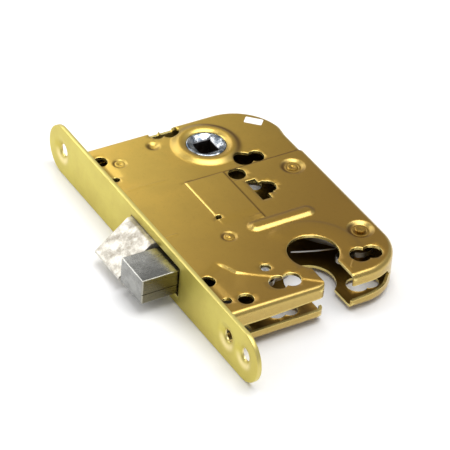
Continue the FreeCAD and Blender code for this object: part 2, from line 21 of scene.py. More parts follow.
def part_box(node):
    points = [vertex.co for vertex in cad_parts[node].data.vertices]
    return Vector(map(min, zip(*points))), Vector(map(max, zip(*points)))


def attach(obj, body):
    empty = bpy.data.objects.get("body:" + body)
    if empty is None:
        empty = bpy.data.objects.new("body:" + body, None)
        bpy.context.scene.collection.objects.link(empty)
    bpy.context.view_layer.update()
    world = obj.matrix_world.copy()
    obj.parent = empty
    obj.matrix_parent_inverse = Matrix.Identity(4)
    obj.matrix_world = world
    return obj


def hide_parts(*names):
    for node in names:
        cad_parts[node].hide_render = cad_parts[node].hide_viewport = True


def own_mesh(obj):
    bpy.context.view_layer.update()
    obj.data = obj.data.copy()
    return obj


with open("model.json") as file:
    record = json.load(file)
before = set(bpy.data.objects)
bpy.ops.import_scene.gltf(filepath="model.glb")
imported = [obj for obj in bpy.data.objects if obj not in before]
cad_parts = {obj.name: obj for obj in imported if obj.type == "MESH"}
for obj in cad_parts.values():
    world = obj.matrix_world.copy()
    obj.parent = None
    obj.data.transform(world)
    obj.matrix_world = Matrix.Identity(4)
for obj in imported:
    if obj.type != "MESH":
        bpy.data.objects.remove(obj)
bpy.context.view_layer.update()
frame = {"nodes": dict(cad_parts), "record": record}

LOG = logging.getLogger("lock")
MM = 0.001
Array = np.ndarray
Colour = tuple[float, float, float]
Place = tuple[float, float]
Point = tuple[float, float, float]
Face = tuple[int, ...]

AXIS: Place = (0.0, 50.0)  # the follower's axis
CYLINDER: Place = (80.0, 52.0)  # the lock cylinder's axis
BODY_OF = {node: body for body, nodes in frame["record"]["behaviour"]["bodies"].items() for node in nodes}


# ---------------------------------------------------------------- shader maths
class Value:
    """A number that changes over a surface, for use in sums."""

    def __init__(self, graph: "Graph", socket: bpy.types.NodeSocket) -> None:
        """Wraps one output socket of a graph."""
        self.graph = graph
        self.socket = socket

    def _sum(self, operation: str, first: object, second: object) -> "Value":
        """One Math node."""
        return self.graph.add("ShaderNodeMath", {"operation": operation}, {0: first, 1: second})

    def __add__(self, other: "Value | float") -> "Value":
        """self + other."""
        return self._sum("ADD", self, other)

    def __radd__(self, other: float) -> "Value":
        """other + self."""
        return self._sum("ADD", other, self)

    def __sub__(self, other: "Value | float") -> "Value":
        """self - other."""
        return self._sum("SUBTRACT", self, other)

    def __rsub__(self, other: float) -> "Value":
        """other - self."""
        return self._sum("SUBTRACT", other, self)

    def __mul__(self, other: "Value | float") -> "Value":
        """self * other."""
        return self._sum("MULTIPLY", self, other)

    def __rmul__(self, other: float) -> "Value":
        """other * self."""
        return self._sum("MULTIPLY", other, self)

    def clamped(self) -> "Value":
        """The same value, kept between 0 and 1."""
        return self.graph.add("ShaderNodeMath", {"operation": "ADD", "use_clamp": True}, {0: self, 1: 0.0})


class Graph:
    """The node tree of one material."""

    def __init__(self, name: str) -> None:
        """Starts a material that holds only its output and shader."""
        self.material = bpy.data.materials.new(name)
        self.material.use_nodes = True
        self.tree = self.material.node_tree
        self.tree.nodes.clear()
        self.shader = self.tree.nodes.new("ShaderNodeBsdfPrincipled")
        output = self.tree.nodes.new("ShaderNodeOutputMaterial")
        self.tree.links.new(self.shader.outputs[0], output.inputs["Surface"])
        self.place = self.add("ShaderNodeTexCoord", {}, {}, "Object")

    def add(self, kind: str, settings: dict[str, object], inputs: dict[int | str, object],
            output: int | str = 0) -> Value:
        """Adds one node.

        Args:
            kind: the node's type.
            settings: the node's own settings, set before its sockets.
            inputs: a number, colour, vector or Value for each socket, by number or name.
            output: which output socket is wanted.

        Returns:
            The wanted output, ready for sums.
        """
        node = self.tree.nodes.new(kind)
        for key, setting in settings.items():
            setattr(node, key, setting)
        for key, given in inputs.items():
            self.feed(node.inputs[key], given)
        return Value(self, node.outputs[output])

    def feed(self, socket: bpy.types.NodeSocket, given: object) -> None:
        """Links a Value to a socket, or sets the socket's own number, colour or vector."""
        if isinstance(given, Value):
            self.tree.links.new(given.socket, socket)
        elif isinstance(given, tuple) and len(given) == 3 and socket.type == "RGBA":
            socket.default_value = (*given, 1.0)
        else:
            socket.default_value = given

    def set(self, **inputs: object) -> None:
        """Feeds the shader's sockets, named with _ for each space."""
        for name, given in inputs.items():
            self.feed(self.shader.inputs[name.replace("_", " ")], given)

    def mix(self, share: "Value | float", first: "Value | Colour", second: "Value | Colour",
            mode: str = "MIX") -> Value:
        """A colour between two colours."""
        return self.add("ShaderNodeMix", {"data_type": "RGBA", "blend_type": mode},
                        {0: share, 6: first, 7: second}, 2)

    def noise(self, scale: float, detail: float = 3.0, stretch: Point = (1.0, 1.0, 1.0),
              rough: float = 0.55) -> Value:
        """Noise of so many spots per metre, drawn out along the axes with a small stretch."""
        place = self.add("ShaderNodeVectorMath", {"operation": "MULTIPLY"}, {0: self.place, 1: stretch})
        return self.add("ShaderNodeTexNoise", {}, {"Vector": place, "Scale": scale, "Detail": detail,
                                                   "Roughness": rough})

    def spread(self, given: Value, low: float, high: float) -> Value:
        """The value drawn out so that low becomes 0 and high becomes 1, with soft ends."""
        return self.add("ShaderNodeMapRange", {"interpolation_type": "SMOOTHSTEP"},
                        {"Value": given, "From Min": low, "From Max": high})

    def along(self, direction: Point) -> Value:
        """How far a point lies along a direction, in metres."""
        return self.add("ShaderNodeVectorMath", {"operation": "DOT_PRODUCT"},
                        {0: self.place, 1: direction}, "Value")

    def painted(self, name: str) -> Value:
        """A value stored at the mesh's points, 0 where the mesh has none."""
        return self.add("ShaderNodeAttribute", {"attribute_name": name}, {}, "Fac")


# ---------------------------------------------------------------- finishes
class Grain(Enum):
    """How the fine marks on a metal run."""

    EVEN = (1.0, 1.0, 1.0)
    ALONG_X = (0.06, 1.0, 1.0)
    ALONG_Y = (1.0, 0.06, 1.0)


@dataclass(frozen=True)
class MetalFinish:
    """A plated, cast or drawn metal. Lengths here are in metres, and noise is in spots per metre."""

    name: str
    main: Colour
    second: Colour
    # the pale colour of worn edges and of painted highlights
    worn: Colour
    metallic: float = 1.0
    rough: float = 0.35
    rough_change: float = 0.12
    blotches: float = 90.0
    specks: float = 1500.0
    speck_tint: float = 0.25
    grain: Grain = Grain.EVEN
    grain_size: float = 2600.0
    bump: float = 0.12
    # painted shade: the colour that the base darkens to along far_direction
    painted_far_shade: Colour | None = None
    far_direction: Point = (0.0, 1.0, 0.0)
    far_from: float = 0.0
    far_to: float = 0.09
    coat: float = 0.0
    coat_rough: float = 0.3
    speck_shade: Colour = (0.5, 0.5, 0.5)
    # the colour of painted shade, mixed in where the points carry painted shade
    painted_shade_colour: Colour = (0.09, 0.045, 0.012)
    relief: float = 0.0004

    def material(self) -> bpy.types.Material:
        """Builds the finish's node tree.

        Returns:
            The material.
        """
        graph = Graph(self.name)
        cloud = graph.noise(self.blotches, 4.0)
        speck = graph.noise(self.specks, 2.0)
        marks = graph.noise(self.grain_size, 3.0, self.grain.value)
        tone = graph.mix(graph.spread(cloud, 0.34, 0.68), self.main, self.second)
        # painted shade: the base colour darkens along far_direction
        if self.painted_far_shade is not None:
            reach = graph.along(self.far_direction) + (cloud - 0.5) * (0.25 * (self.far_to - self.far_from))
            tone = graph.mix(graph.spread(reach, self.far_from, self.far_to), tone, self.painted_far_shade)
        dark_speck = graph.spread(speck, 0.56, 0.74) * self.speck_tint
        tone = graph.mix(dark_speck, tone, self.speck_shade, "MULTIPLY")
        # paler where the points carry wear and painted highlights
        wear_and_highlight = graph.painted("wear_and_highlight")
        painted_shade = graph.painted("painted_shade")
        tone = graph.mix((wear_and_highlight * (0.75 + speck * 0.5)).clamped(), tone, self.worn)
        # darker where the points carry painted shade
        tone = graph.mix((painted_shade * 0.85).clamped(), tone, self.painted_shade_colour)
        rough = self.rough + (cloud - 0.5) * self.rough_change + (marks - 0.5) * self.rough_change
        rough = (rough - wear_and_highlight * 0.12 + painted_shade * 0.25).clamped()
        height = marks * 0.6 + speck * 0.4 + cloud * 0.8
        normal = graph.add("ShaderNodeBump", {}, {"Height": height, "Strength": self.bump,
                                                  "Distance": self.relief})
        coat = ((1 - painted_shade) * (1 - wear_and_highlight * 0.5) * self.coat).clamped()
        graph.set(Base_Color=tone, Metallic=self.metallic, Roughness=rough, Normal=normal, Coat_Weight=coat,
                  Coat_Roughness=self.coat_rough)
        return graph.material


@dataclass(frozen=True)
class PaperFinish:
    """Plain white label paper, a little yellowed at its edges."""

    name: str
    sheet: Colour = (0.93, 0.92, 0.88)
    aged: Colour = (0.86, 0.80, 0.66)
    fibres: Colour = (0.7, 0.68, 0.62)

    def material(self) -> bpy.types.Material:
        """Builds the finish's node tree.

        Returns:
            The material.
        """
        graph = Graph(self.name)
        fibre = graph.noise(2400.0, 4.0)
        cloud = graph.noise(260.0, 3.0)
        aged = (graph.spread(cloud, 0.5, 0.8) * 0.5 + graph.painted("wear_and_highlight") * 0.5).clamped()
        tone = graph.mix(aged, self.sheet, self.aged)
        tone = graph.mix(graph.spread(fibre, 0.5, 0.8) * 0.12, tone, self.fibres)
        normal = graph.add("ShaderNodeBump", {}, {"Height": fibre, "Strength": 0.2, "Distance": 0.0001})
        graph.set(Base_Color=tone, Roughness=0.55 + (fibre - 0.5) * 0.2, Normal=normal)
        return graph.material


@dataclass(frozen=True)
class FloorFinish:
    """A pale plain studio floor."""

    name: str
    shade: Colour = (0.93, 0.93, 0.94)
    second: Colour = (0.90, 0.90, 0.91)

    def material(self) -> bpy.types.Material:
        """Builds the finish's node tree.

        Returns:
            The material.
        """
        graph = Graph(self.name)
        cloud = graph.noise(3.0, 2.0)
        graph.set(Base_Color=graph.mix(cloud * 0.1, self.shade, self.second), Roughness=0.6)
        graph.feed(graph.shader.inputs["Specular IOR Level"], 0.15)
        return graph.material


METALS = (
    # case: its far tone is painted shade, darker towards the back and lower end as the light falls off
    MetalFinish("yellow_zinc_case", (0.66, 0.43, 0.066), (0.60, 0.41, 0.066), (0.85, 0.69, 0.24),
                metallic=0.85, rough=0.34, blotches=60.0, specks=900.0, speck_tint=0.14, bump=0.10,
                painted_far_shade=(0.34, 0.19, 0.022), far_direction=(0.74, 0.67, 0.0), far_from=-0.01, far_to=0.10,
                coat=0.3),
    MetalFinish("yellow_zinc_forend", (0.655, 0.565, 0.115), (0.60, 0.50, 0.10), (0.90, 0.76, 0.36),
                metallic=0.75, rough=0.42, blotches=70.0, specks=700.0, speck_tint=0.08,
                grain=Grain.ALONG_X, bump=0.06),
    MetalFinish("cast_latch", (0.76, 0.735, 0.665), (0.38, 0.345, 0.285), (0.80, 0.78, 0.72),
                metallic=0.7, rough=0.46, rough_change=0.2, blotches=260.0, specks=1100.0, speck_tint=0.5,
                grain_size=1500.0, bump=0.5),
    # drawn bolt: its far tone is painted shade, darkening the bolt's +X side face past x 64 mm
    MetalFinish("drawn_bolt", (0.34, 0.34, 0.32), (0.22, 0.22, 0.205), (0.85, 0.85, 0.80), rough=0.26,
                rough_change=0.16, blotches=150.0, specks=1100.0, speck_tint=0.3, grain=Grain.ALONG_Y,
                grain_size=2200.0, bump=0.14, painted_far_shade=(0.17, 0.155, 0.10), far_direction=(1.0, 0.0, 0.0),
                far_from=0.0640, far_to=0.0649),
    # bright nickel: its dark second colour, spread in blotches, is painted reflection of dark surroundings
    MetalFinish("bright_nickel", (0.66, 0.70, 0.74), (0.12, 0.15, 0.19), (0.95, 0.96, 0.98), rough=0.15,
                rough_change=0.16, blotches=430.0, speck_tint=0.35, bump=0.22),
    MetalFinish("inner_steel", (0.40, 0.39, 0.37), (0.30, 0.29, 0.27), (0.7, 0.7, 0.68), rough=0.38,
                specks=1200.0, grain=Grain.ALONG_Y, bump=0.15),
    MetalFinish("bright_pin", (0.55, 0.56, 0.58), (0.40, 0.41, 0.43), (0.95, 0.95, 0.95), metallic=0.9,
                rough=0.3, specks=1400.0, bump=0.15),
    MetalFinish("blackened_steel", (0.05, 0.045, 0.04), (0.03, 0.027, 0.024), (0.3, 0.28, 0.25),
                metallic=0.8, rough=0.5, specks=1000.0, bump=0.15),
    MetalFinish("spring_wire", (0.50, 0.49, 0.46), (0.36, 0.35, 0.33), (0.8, 0.8, 0.78), rough=0.3,
                specks=1800.0, bump=0.1),
)


# ---------------------------------------------------------------- flat shapes
@dataclass(frozen=True)
class Circle:
    """A round opening."""

    x: float
    y: float
    radius: float
    cuts_rim: bool = False

    def gap(self, x: Array, y: Array) -> Array:
        """How far points lie outside the edge, negative inside."""
        return np.hypot(x - self.x, y - self.y) - self.radius

    def loop(self, grow: float, spacing: float) -> list[Place]:
        """Points round the edge, drawn out by grow."""
        radius = self.radius + grow
        count = max(16, round(2 * math.pi * radius / spacing))
        turns = [2 * math.pi * step / count for step in range(count)]
        return [(self.x + radius * math.cos(turn), self.y + radius * math.sin(turn)) for turn in turns]


@dataclass(frozen=True)
class Block:
    """A square-cornered opening."""

    low_x: float
    low_y: float
    high_x: float
    high_y: float
    cuts_rim: bool = False

    def gap(self, x: Array, y: Array) -> Array:
        """How far points lie outside the edge, negative inside."""
        across = np.maximum(self.low_x - x, x - self.high_x)
        along = np.maximum(self.low_y - y, y - self.high_y)
        outside = np.hypot(np.maximum(across, 0), np.maximum(along, 0))
        return outside + np.minimum(np.maximum(across, along), 0)

    def loop(self, grow: float, spacing: float) -> list[Place]:
        """Points round the edge, drawn out by grow."""
        low = (self.low_x - grow, self.low_y - grow)
        high = (self.high_x + grow, self.high_y + grow)
        corners = [low, (high[0], low[1]), high, (low[0], high[1]), low]
        return [place for start, end in zip(corners, corners[1:]) for place in steps(start, end, spacing)]


@dataclass(frozen=True)
class RoundedCorner:
    """What is cut away to round off a convex corner of the sheet."""

    x: float
    y: float
    side_x: float
    side_y: float
    radius: float
    cuts_rim: bool = True

    def gap(self, x: Array, y: Array) -> Array:
        """How far points lie from what is cut away, negative inside it."""
        across = (x - self.x) * self.side_x + self.radius
        along = (y - self.y) * self.side_y + self.radius
        beyond = (across > 0) & (along > 0) & (along < self.radius * 1.5)
        return np.where(beyond, self.radius - np.hypot(across, along), 1.0)

    def inset(self, x: Array, y: Array) -> tuple[Array, Array, Array]:
        """How far points lie inside the bend round the corner, and the direction straight out of it.

        The bend runs out where the arc meets the slot's side.
        """
        across = (x - self.x) * self.side_x + self.radius
        along = np.maximum((y - self.y) * self.side_y + self.radius, 0) * ease(across, 0.0, self.radius)
        reach = np.maximum(np.hypot(across, along), 1e-9)
        near = (across > 0) & (along > 0) & ((y - self.y) * self.side_y < self.radius * 0.5)
        depth = np.where(near, self.radius - reach, 1e3)
        return depth, across / reach * self.side_x, along / reach * self.side_y

    def out_of(self, x: float, y: float) -> Place | None:
        """The direction straight out of the arc at a point on it, or None elsewhere."""
        across = (x - self.x) * self.side_x + self.radius
        along = (y - self.y) * self.side_y + self.radius
        if min(across, along) < -1e-3 or abs(math.hypot(across, along) - self.radius) > 0.03:
            return None
        return across / self.radius * self.side_x, max(along, 0.0) / self.radius * self.side_y

    def loop(self, grow: float, spacing: float) -> list[Place]:
        """Points along the arc, drawn in by grow."""
        centre = (self.x - self.side_x * self.radius, self.y - self.side_y * self.radius)
        reach = self.radius - grow
        turns = [math.pi / 2 * step / 8 for step in range(9)]
        arc = [(centre[0] + self.side_x * reach * math.cos(turn),
                centre[1] + self.side_y * reach * math.sin(turn)) for turn in turns]
        return arc + arc[-2:0:-1]


Opening = Circle | Block | RoundedCorner


def steps(start: Place, end: Place, spacing: float) -> list[Place]:
    """Points from start towards end, without end itself.

    Args:
        start: first point.
        end: where the next run starts.
        spacing: largest step.

    Returns:
        The points.
    """
    count = max(1, math.ceil(math.dist(start, end) / spacing))
    return [(start[0] + (end[0] - start[0]) * k / count, start[1] + (end[1] - start[1]) * k / count)
            for k in range(count)]


def ease(value: Array, low: float, high: float) -> Array:
    """0 below low, 1 above high, with a smooth slope between."""
    share = np.clip((value - low) / (high - low), 0, 1)
    return share * share * (3 - 2 * share)


def band(value: Array, middle: float, width: float) -> Array:
    """A soft band: 1 in its middle, fading over width to both sides."""
    return np.exp(-((value - middle) / width) ** 2)


def between(value: Array, low: Place, high: Place) -> Array:
    """1 between two slopes, each given by where it starts and ends, and 0 beyond them."""
    return ease(value, *low) * (1 - ease(value, *high))


def polar(x: Array, y: Array, centre: Place) -> tuple[Array, Array]:
    """How far points lie from a centre, and in which direction, in degrees."""
    return np.hypot(x - centre[0], y - centre[1]), np.degrees(np.arctan2(y - centre[1], x - centre[0]))


def facing(turn: Array, towards: float, low: float, high: float) -> Array:
    """How nearly directions point one way, eased between two cosines."""
    return ease(np.cos(np.radians(turn - towards)), low, high)


def reach_of_line(x: Array, y: Array, line: Sequence[Place]) -> tuple[Array, Array, Array]:
    """Where points lie beside a line of straight runs.

    Args:
        x: the points' x.
        y: the points' y.
        line: the line's corners.

    Returns:
        The distance from the line, which side of it (1 to the left of its direction), and the share of the
        line's runs passed.
    """
    best = np.full(np.shape(x), 1e9)
    side = np.zeros(np.shape(x))
    share = np.zeros(np.shape(x))
    for number, (start, end) in enumerate(zip(line, line[1:])):
        run = (end[0] - start[0], end[1] - start[1])
        length = run[0] ** 2 + run[1] ** 2
        place = np.clip(((x - start[0]) * run[0] + (y - start[1]) * run[1]) / length, 0, 1)
        away = np.hypot(x - start[0] - place * run[0], y - start[1] - place * run[1])
        nearer = away < best
        best = np.where(nearer, away, best)
        cross = run[0] * (y - start[1]) - run[1] * (x - start[0])
        side = np.where(nearer, np.sign(cross), side)
        share = np.where(nearer, (number + place) / (len(line) - 1), share)
    return best, side, share


# ---------------------------------------------------------------- meshes
@dataclass
class FlatCut:
    """A flat region cut into triangles, finer where the surface over it bends."""

    height: Callable[[Array, Array], Array]  # how far the surface stands out
    keep: Callable[[Array, Array], Array]  # whether there is sheet at a place
    clear: Callable[[Array, Array], Array]  # how far a place lies from the lines in paths
    within: Callable[[Array, Array], Array]  # whether a place lies inside the outline
    low: Place
    high: Place
    coarse: float = 2.4
    levels: int = 4
    tolerance: float = 0.012
    paths: list[tuple[list[Place], bool]] = field(default_factory=list)

    def inner_places(self) -> Array:
        """Points inside the region, nearer together where the height is not even."""
        size = self.coarse
        grid_x, grid_y = np.meshgrid(np.arange(self.low[0], self.high[0], size),
                                     np.arange(self.low[1], self.high[1], size), indexing="ij")
        cell_x, cell_y = grid_x.ravel(), grid_y.ravel()
        ends = ((0, 0), (1, 0), (0, 1), (1, 1))
        ticks = np.linspace(0, 1, 7)
        share_x, share_y = (grid.ravel()[None] for grid in np.meshgrid(ticks, ticks))
        kept = []
        for level in range(self.levels):
            there = self.height(cell_x[:, None] + share_x * size, cell_y[:, None] + share_y * size)
            corner = [self.height(cell_x + dx * size, cell_y + dy * size)[:, None]
                      for dx, dy in ends]
            low_side = corner[0] * (1 - share_x) + corner[1] * share_x
            high_side = corner[2] * (1 - share_x) + corner[3] * share_x
            error = np.abs(there - low_side * (1 - share_y) - high_side * share_y).max(1)
            split = (error > self.tolerance) & (level < self.levels - 1)
            for dx, dy in ends:
                kept.append(np.stack([cell_x[~split] + dx * size, cell_y[~split] + dy * size], 1))
            size /= 2
            offsets = ((0, 0), (size, 0), (0, size), (size, size))
            cell_x, cell_y = (np.concatenate([cells[split] + offset[axis] for offset in offsets])
                              for axis, cells in enumerate((cell_x, cell_y)))
        places = np.unique(np.round(np.concatenate(kept), 4), axis=0)
        inside = self.clear(places[:, 0], places[:, 1]) > 0.16
        return places[inside]

    def triangles(self) -> tuple[Array, Array, Array]:
        """Cuts the region.

        Returns:
            The points, the triangles kept, and the outline's edges, whether or not an opening breaks them.
        """
        places: list[Place] = []
        edges: list[tuple[int, int]] = []
        for path, closed in self.paths:
            first = len(places)
            places += path
            edges += [(k, k + 1) for k in range(first, len(places) - 1)]
            if closed:
                edges.append((len(places) - 1, first))
        places += [tuple(place) for place in self.inner_places()]
        cut = delaunay_2d_cdt([Vector(place) for place in places], edges, [], 0, 1e-5)
        points = np.array([tuple(point) for point in cut[0]])
        corners = np.array([tuple(face) for face in cut[2] if len(face) == 3])
        middle = points[corners].mean(1)
        rim = single_edges(corners[self.within(middle[:, 0], middle[:, 1])])
        return points, corners[self.keep(middle[:, 0], middle[:, 1])], rim


def single_edges(faces: Iterable[Sequence[int]]) -> Array:
    """The edges that only one face has, in the direction that face goes round."""
    seen: dict[tuple[int, int], tuple[int, int] | None] = {}
    for face in faces:
        for start, end in zip(face, (*face[1:], face[0])):
            key = (min(start, end), max(start, end))
            seen[key] = None if key in seen else (int(start), int(end))
    return np.array([edge for edge in seen.values() if edge is not None])


def joined(first: int, second: int, count: int) -> list[Face]:
    """The faces between two rings of count points, each ring given by its number."""
    ahead = [(k + 1) % count for k in range(count)]
    return [(first * count + k, first * count + after, second * count + after, second * count + k)
            for k, after in enumerate(ahead)]


def closed(faces: Sequence[Sequence[int]], count: int) -> list[Face]:
    """Closes a sheet whose other side has its points after the first side's.

    Args:
        faces: the first side's faces.
        count: how many points each side has.

    Returns:
        The faces of both sides and of the edges between them.
    """
    other = [tuple(corner + count for corner in face[::-1]) for face in faces]
    edges = [(start, end, end + count, start + count) for start, end in single_edges(faces)]
    return [tuple(face) for face in faces] + other + edges


class Maker:
    """Turns lists of points and faces into finished pieces."""

    @staticmethod
    def piece(name: str, points: Sequence[Sequence[float]], faces: Sequence[Sequence[int]],
              paint: dict[str, Array] | None = None, sharp: float = 32.0) -> bpy.types.Object:
        """Makes an object from points in millimetres, leaving out points that no face has.

        Args:
            name: the object's name.
            points: its corners.
            faces: its faces.
            paint: values stored at its points, by name.
            sharp: edges that turn by more degrees than this stay crisp.

        Returns:
            The object.
        """
        used = np.unique([corner for face in faces for corner in face])
        index = {int(old): new for new, old in enumerate(used)}
        mesh = bpy.data.meshes.new(name)
        mesh.from_pydata((np.array(points, float)[used] * MM).tolist(), [],
                         [tuple(index[int(corner)] for corner in face) for face in faces])
        for key, values in (paint or {}).items():
            layer = mesh.attributes.new(key, "FLOAT", "POINT")
            layer.data.foreach_set("value", np.asarray(values, np.float32)[used])
        work = bmesh.new()
        work.from_mesh(mesh)
        bmesh.ops.recalc_face_normals(work, faces=work.faces)
        work.to_mesh(mesh)
        work.free()
        Maker.smooth(mesh, sharp)
        piece = bpy.data.objects.new(name, mesh)
        bpy.context.scene.collection.objects.link(piece)
        return piece

    @staticmethod
    def smooth(mesh: bpy.types.Mesh, sharp: float) -> None:
        """Shades a mesh smooth, but for its crisp edges."""
        mesh.shade_smooth()
        mesh.set_sharp_from_angle(angle=math.radians(sharp))

    @staticmethod
    def lathe(name: str, centre: Place, profile: Sequence[Place], sides: int = 40) -> bpy.types.Object:
        """Turns a profile about a Z axis.

        Args:
            name: the object's name.
            centre: the axis' x and y.
            profile: radius and z, from axis to axis.
            sides: points round each ring.

        Returns:
            The object.
        """
        points: list[Point] = []
        rings: list[list[int]] = []
        for radius, level in profile:
            count = 1 if radius == 0 else sides
            rings.append([len(points) + k for k in range(count)])
            turns = [2 * math.pi * k / sides for k in range(count)]
            points += [(centre[0] + radius * math.cos(turn), centre[1] + radius * math.sin(turn), level)
                       for turn in turns]
        faces = []
        for low, high in zip(rings, rings[1:]):
            for k in range(sides):
                one, two = k % len(low), (k + 1) % len(low)
                three, four = (k + 1) % len(high), k % len(high)
                face = [low[one], low[two], high[three], high[four]]
                faces.append(list(dict.fromkeys(face)))
        return Maker.piece(name, points, faces)

    @staticmethod
    def eased(name: str, node: str, material: bpy.types.Material, slot: str = "inner_steel",
              width: float = 0.15, segments: int = 2) -> None:
        """Replaces a CAD node by its copy with broken edges, as filing or tumbling leaves them.

        Args:
            name: the new object's name.
            node: the CAD node.
            material: its finish.
            slot: the record's material slot.
            width: how wide the broken edges are.
            segments: facets across each broken edge.
        """
        mesh = frame["nodes"][node].data.copy()
        mesh.name = name
        mesh.materials.clear()
        work = bmesh.new()
        work.from_mesh(mesh)
        bmesh.ops.remove_doubles(work, verts=work.verts, dist=2e-6)
        bmesh.ops.dissolve_limit(work, angle_limit=math.radians(1.0), verts=work.verts, edges=work.edges)
        work.to_mesh(mesh)
        work.free()
        piece = bpy.data.objects.new(name, mesh)
        bpy.context.scene.collection.objects.link(piece)
        bevel = piece.modifiers.new("broken_edges", "BEVEL")
        bevel.width = width * MM
        bevel.segments = segments
        bevel.limit_method = "ANGLE"
        bevel.angle_limit = math.radians(35)
        Maker.smooth(mesh, 40.0)
        Maker.fit(piece, BODY_OF[node], slot, material, (node,))

    @staticmethod
    def fit(piece: bpy.types.Object, body: str, slot: str, material: bpy.types.Material,
            replaced: Sequence[str] = ()) -> None:
        """Dresses a piece and joins it to its body.

        Args:
            piece: the object.
            body: the CAD body that it rides on.
            slot: the record's material slot; not used.
            material: its finish.
            replaced: the CAD nodes that it stands for.
        """
        piece.data.materials.clear()
        piece.data.materials.append(material)
        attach(piece, body)
        if replaced:
            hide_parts(*replaced)
        LOG.info("%s rides on %s, finish %s, %d faces", piece.name, body, material.name,
                 len(piece.data.polygons))


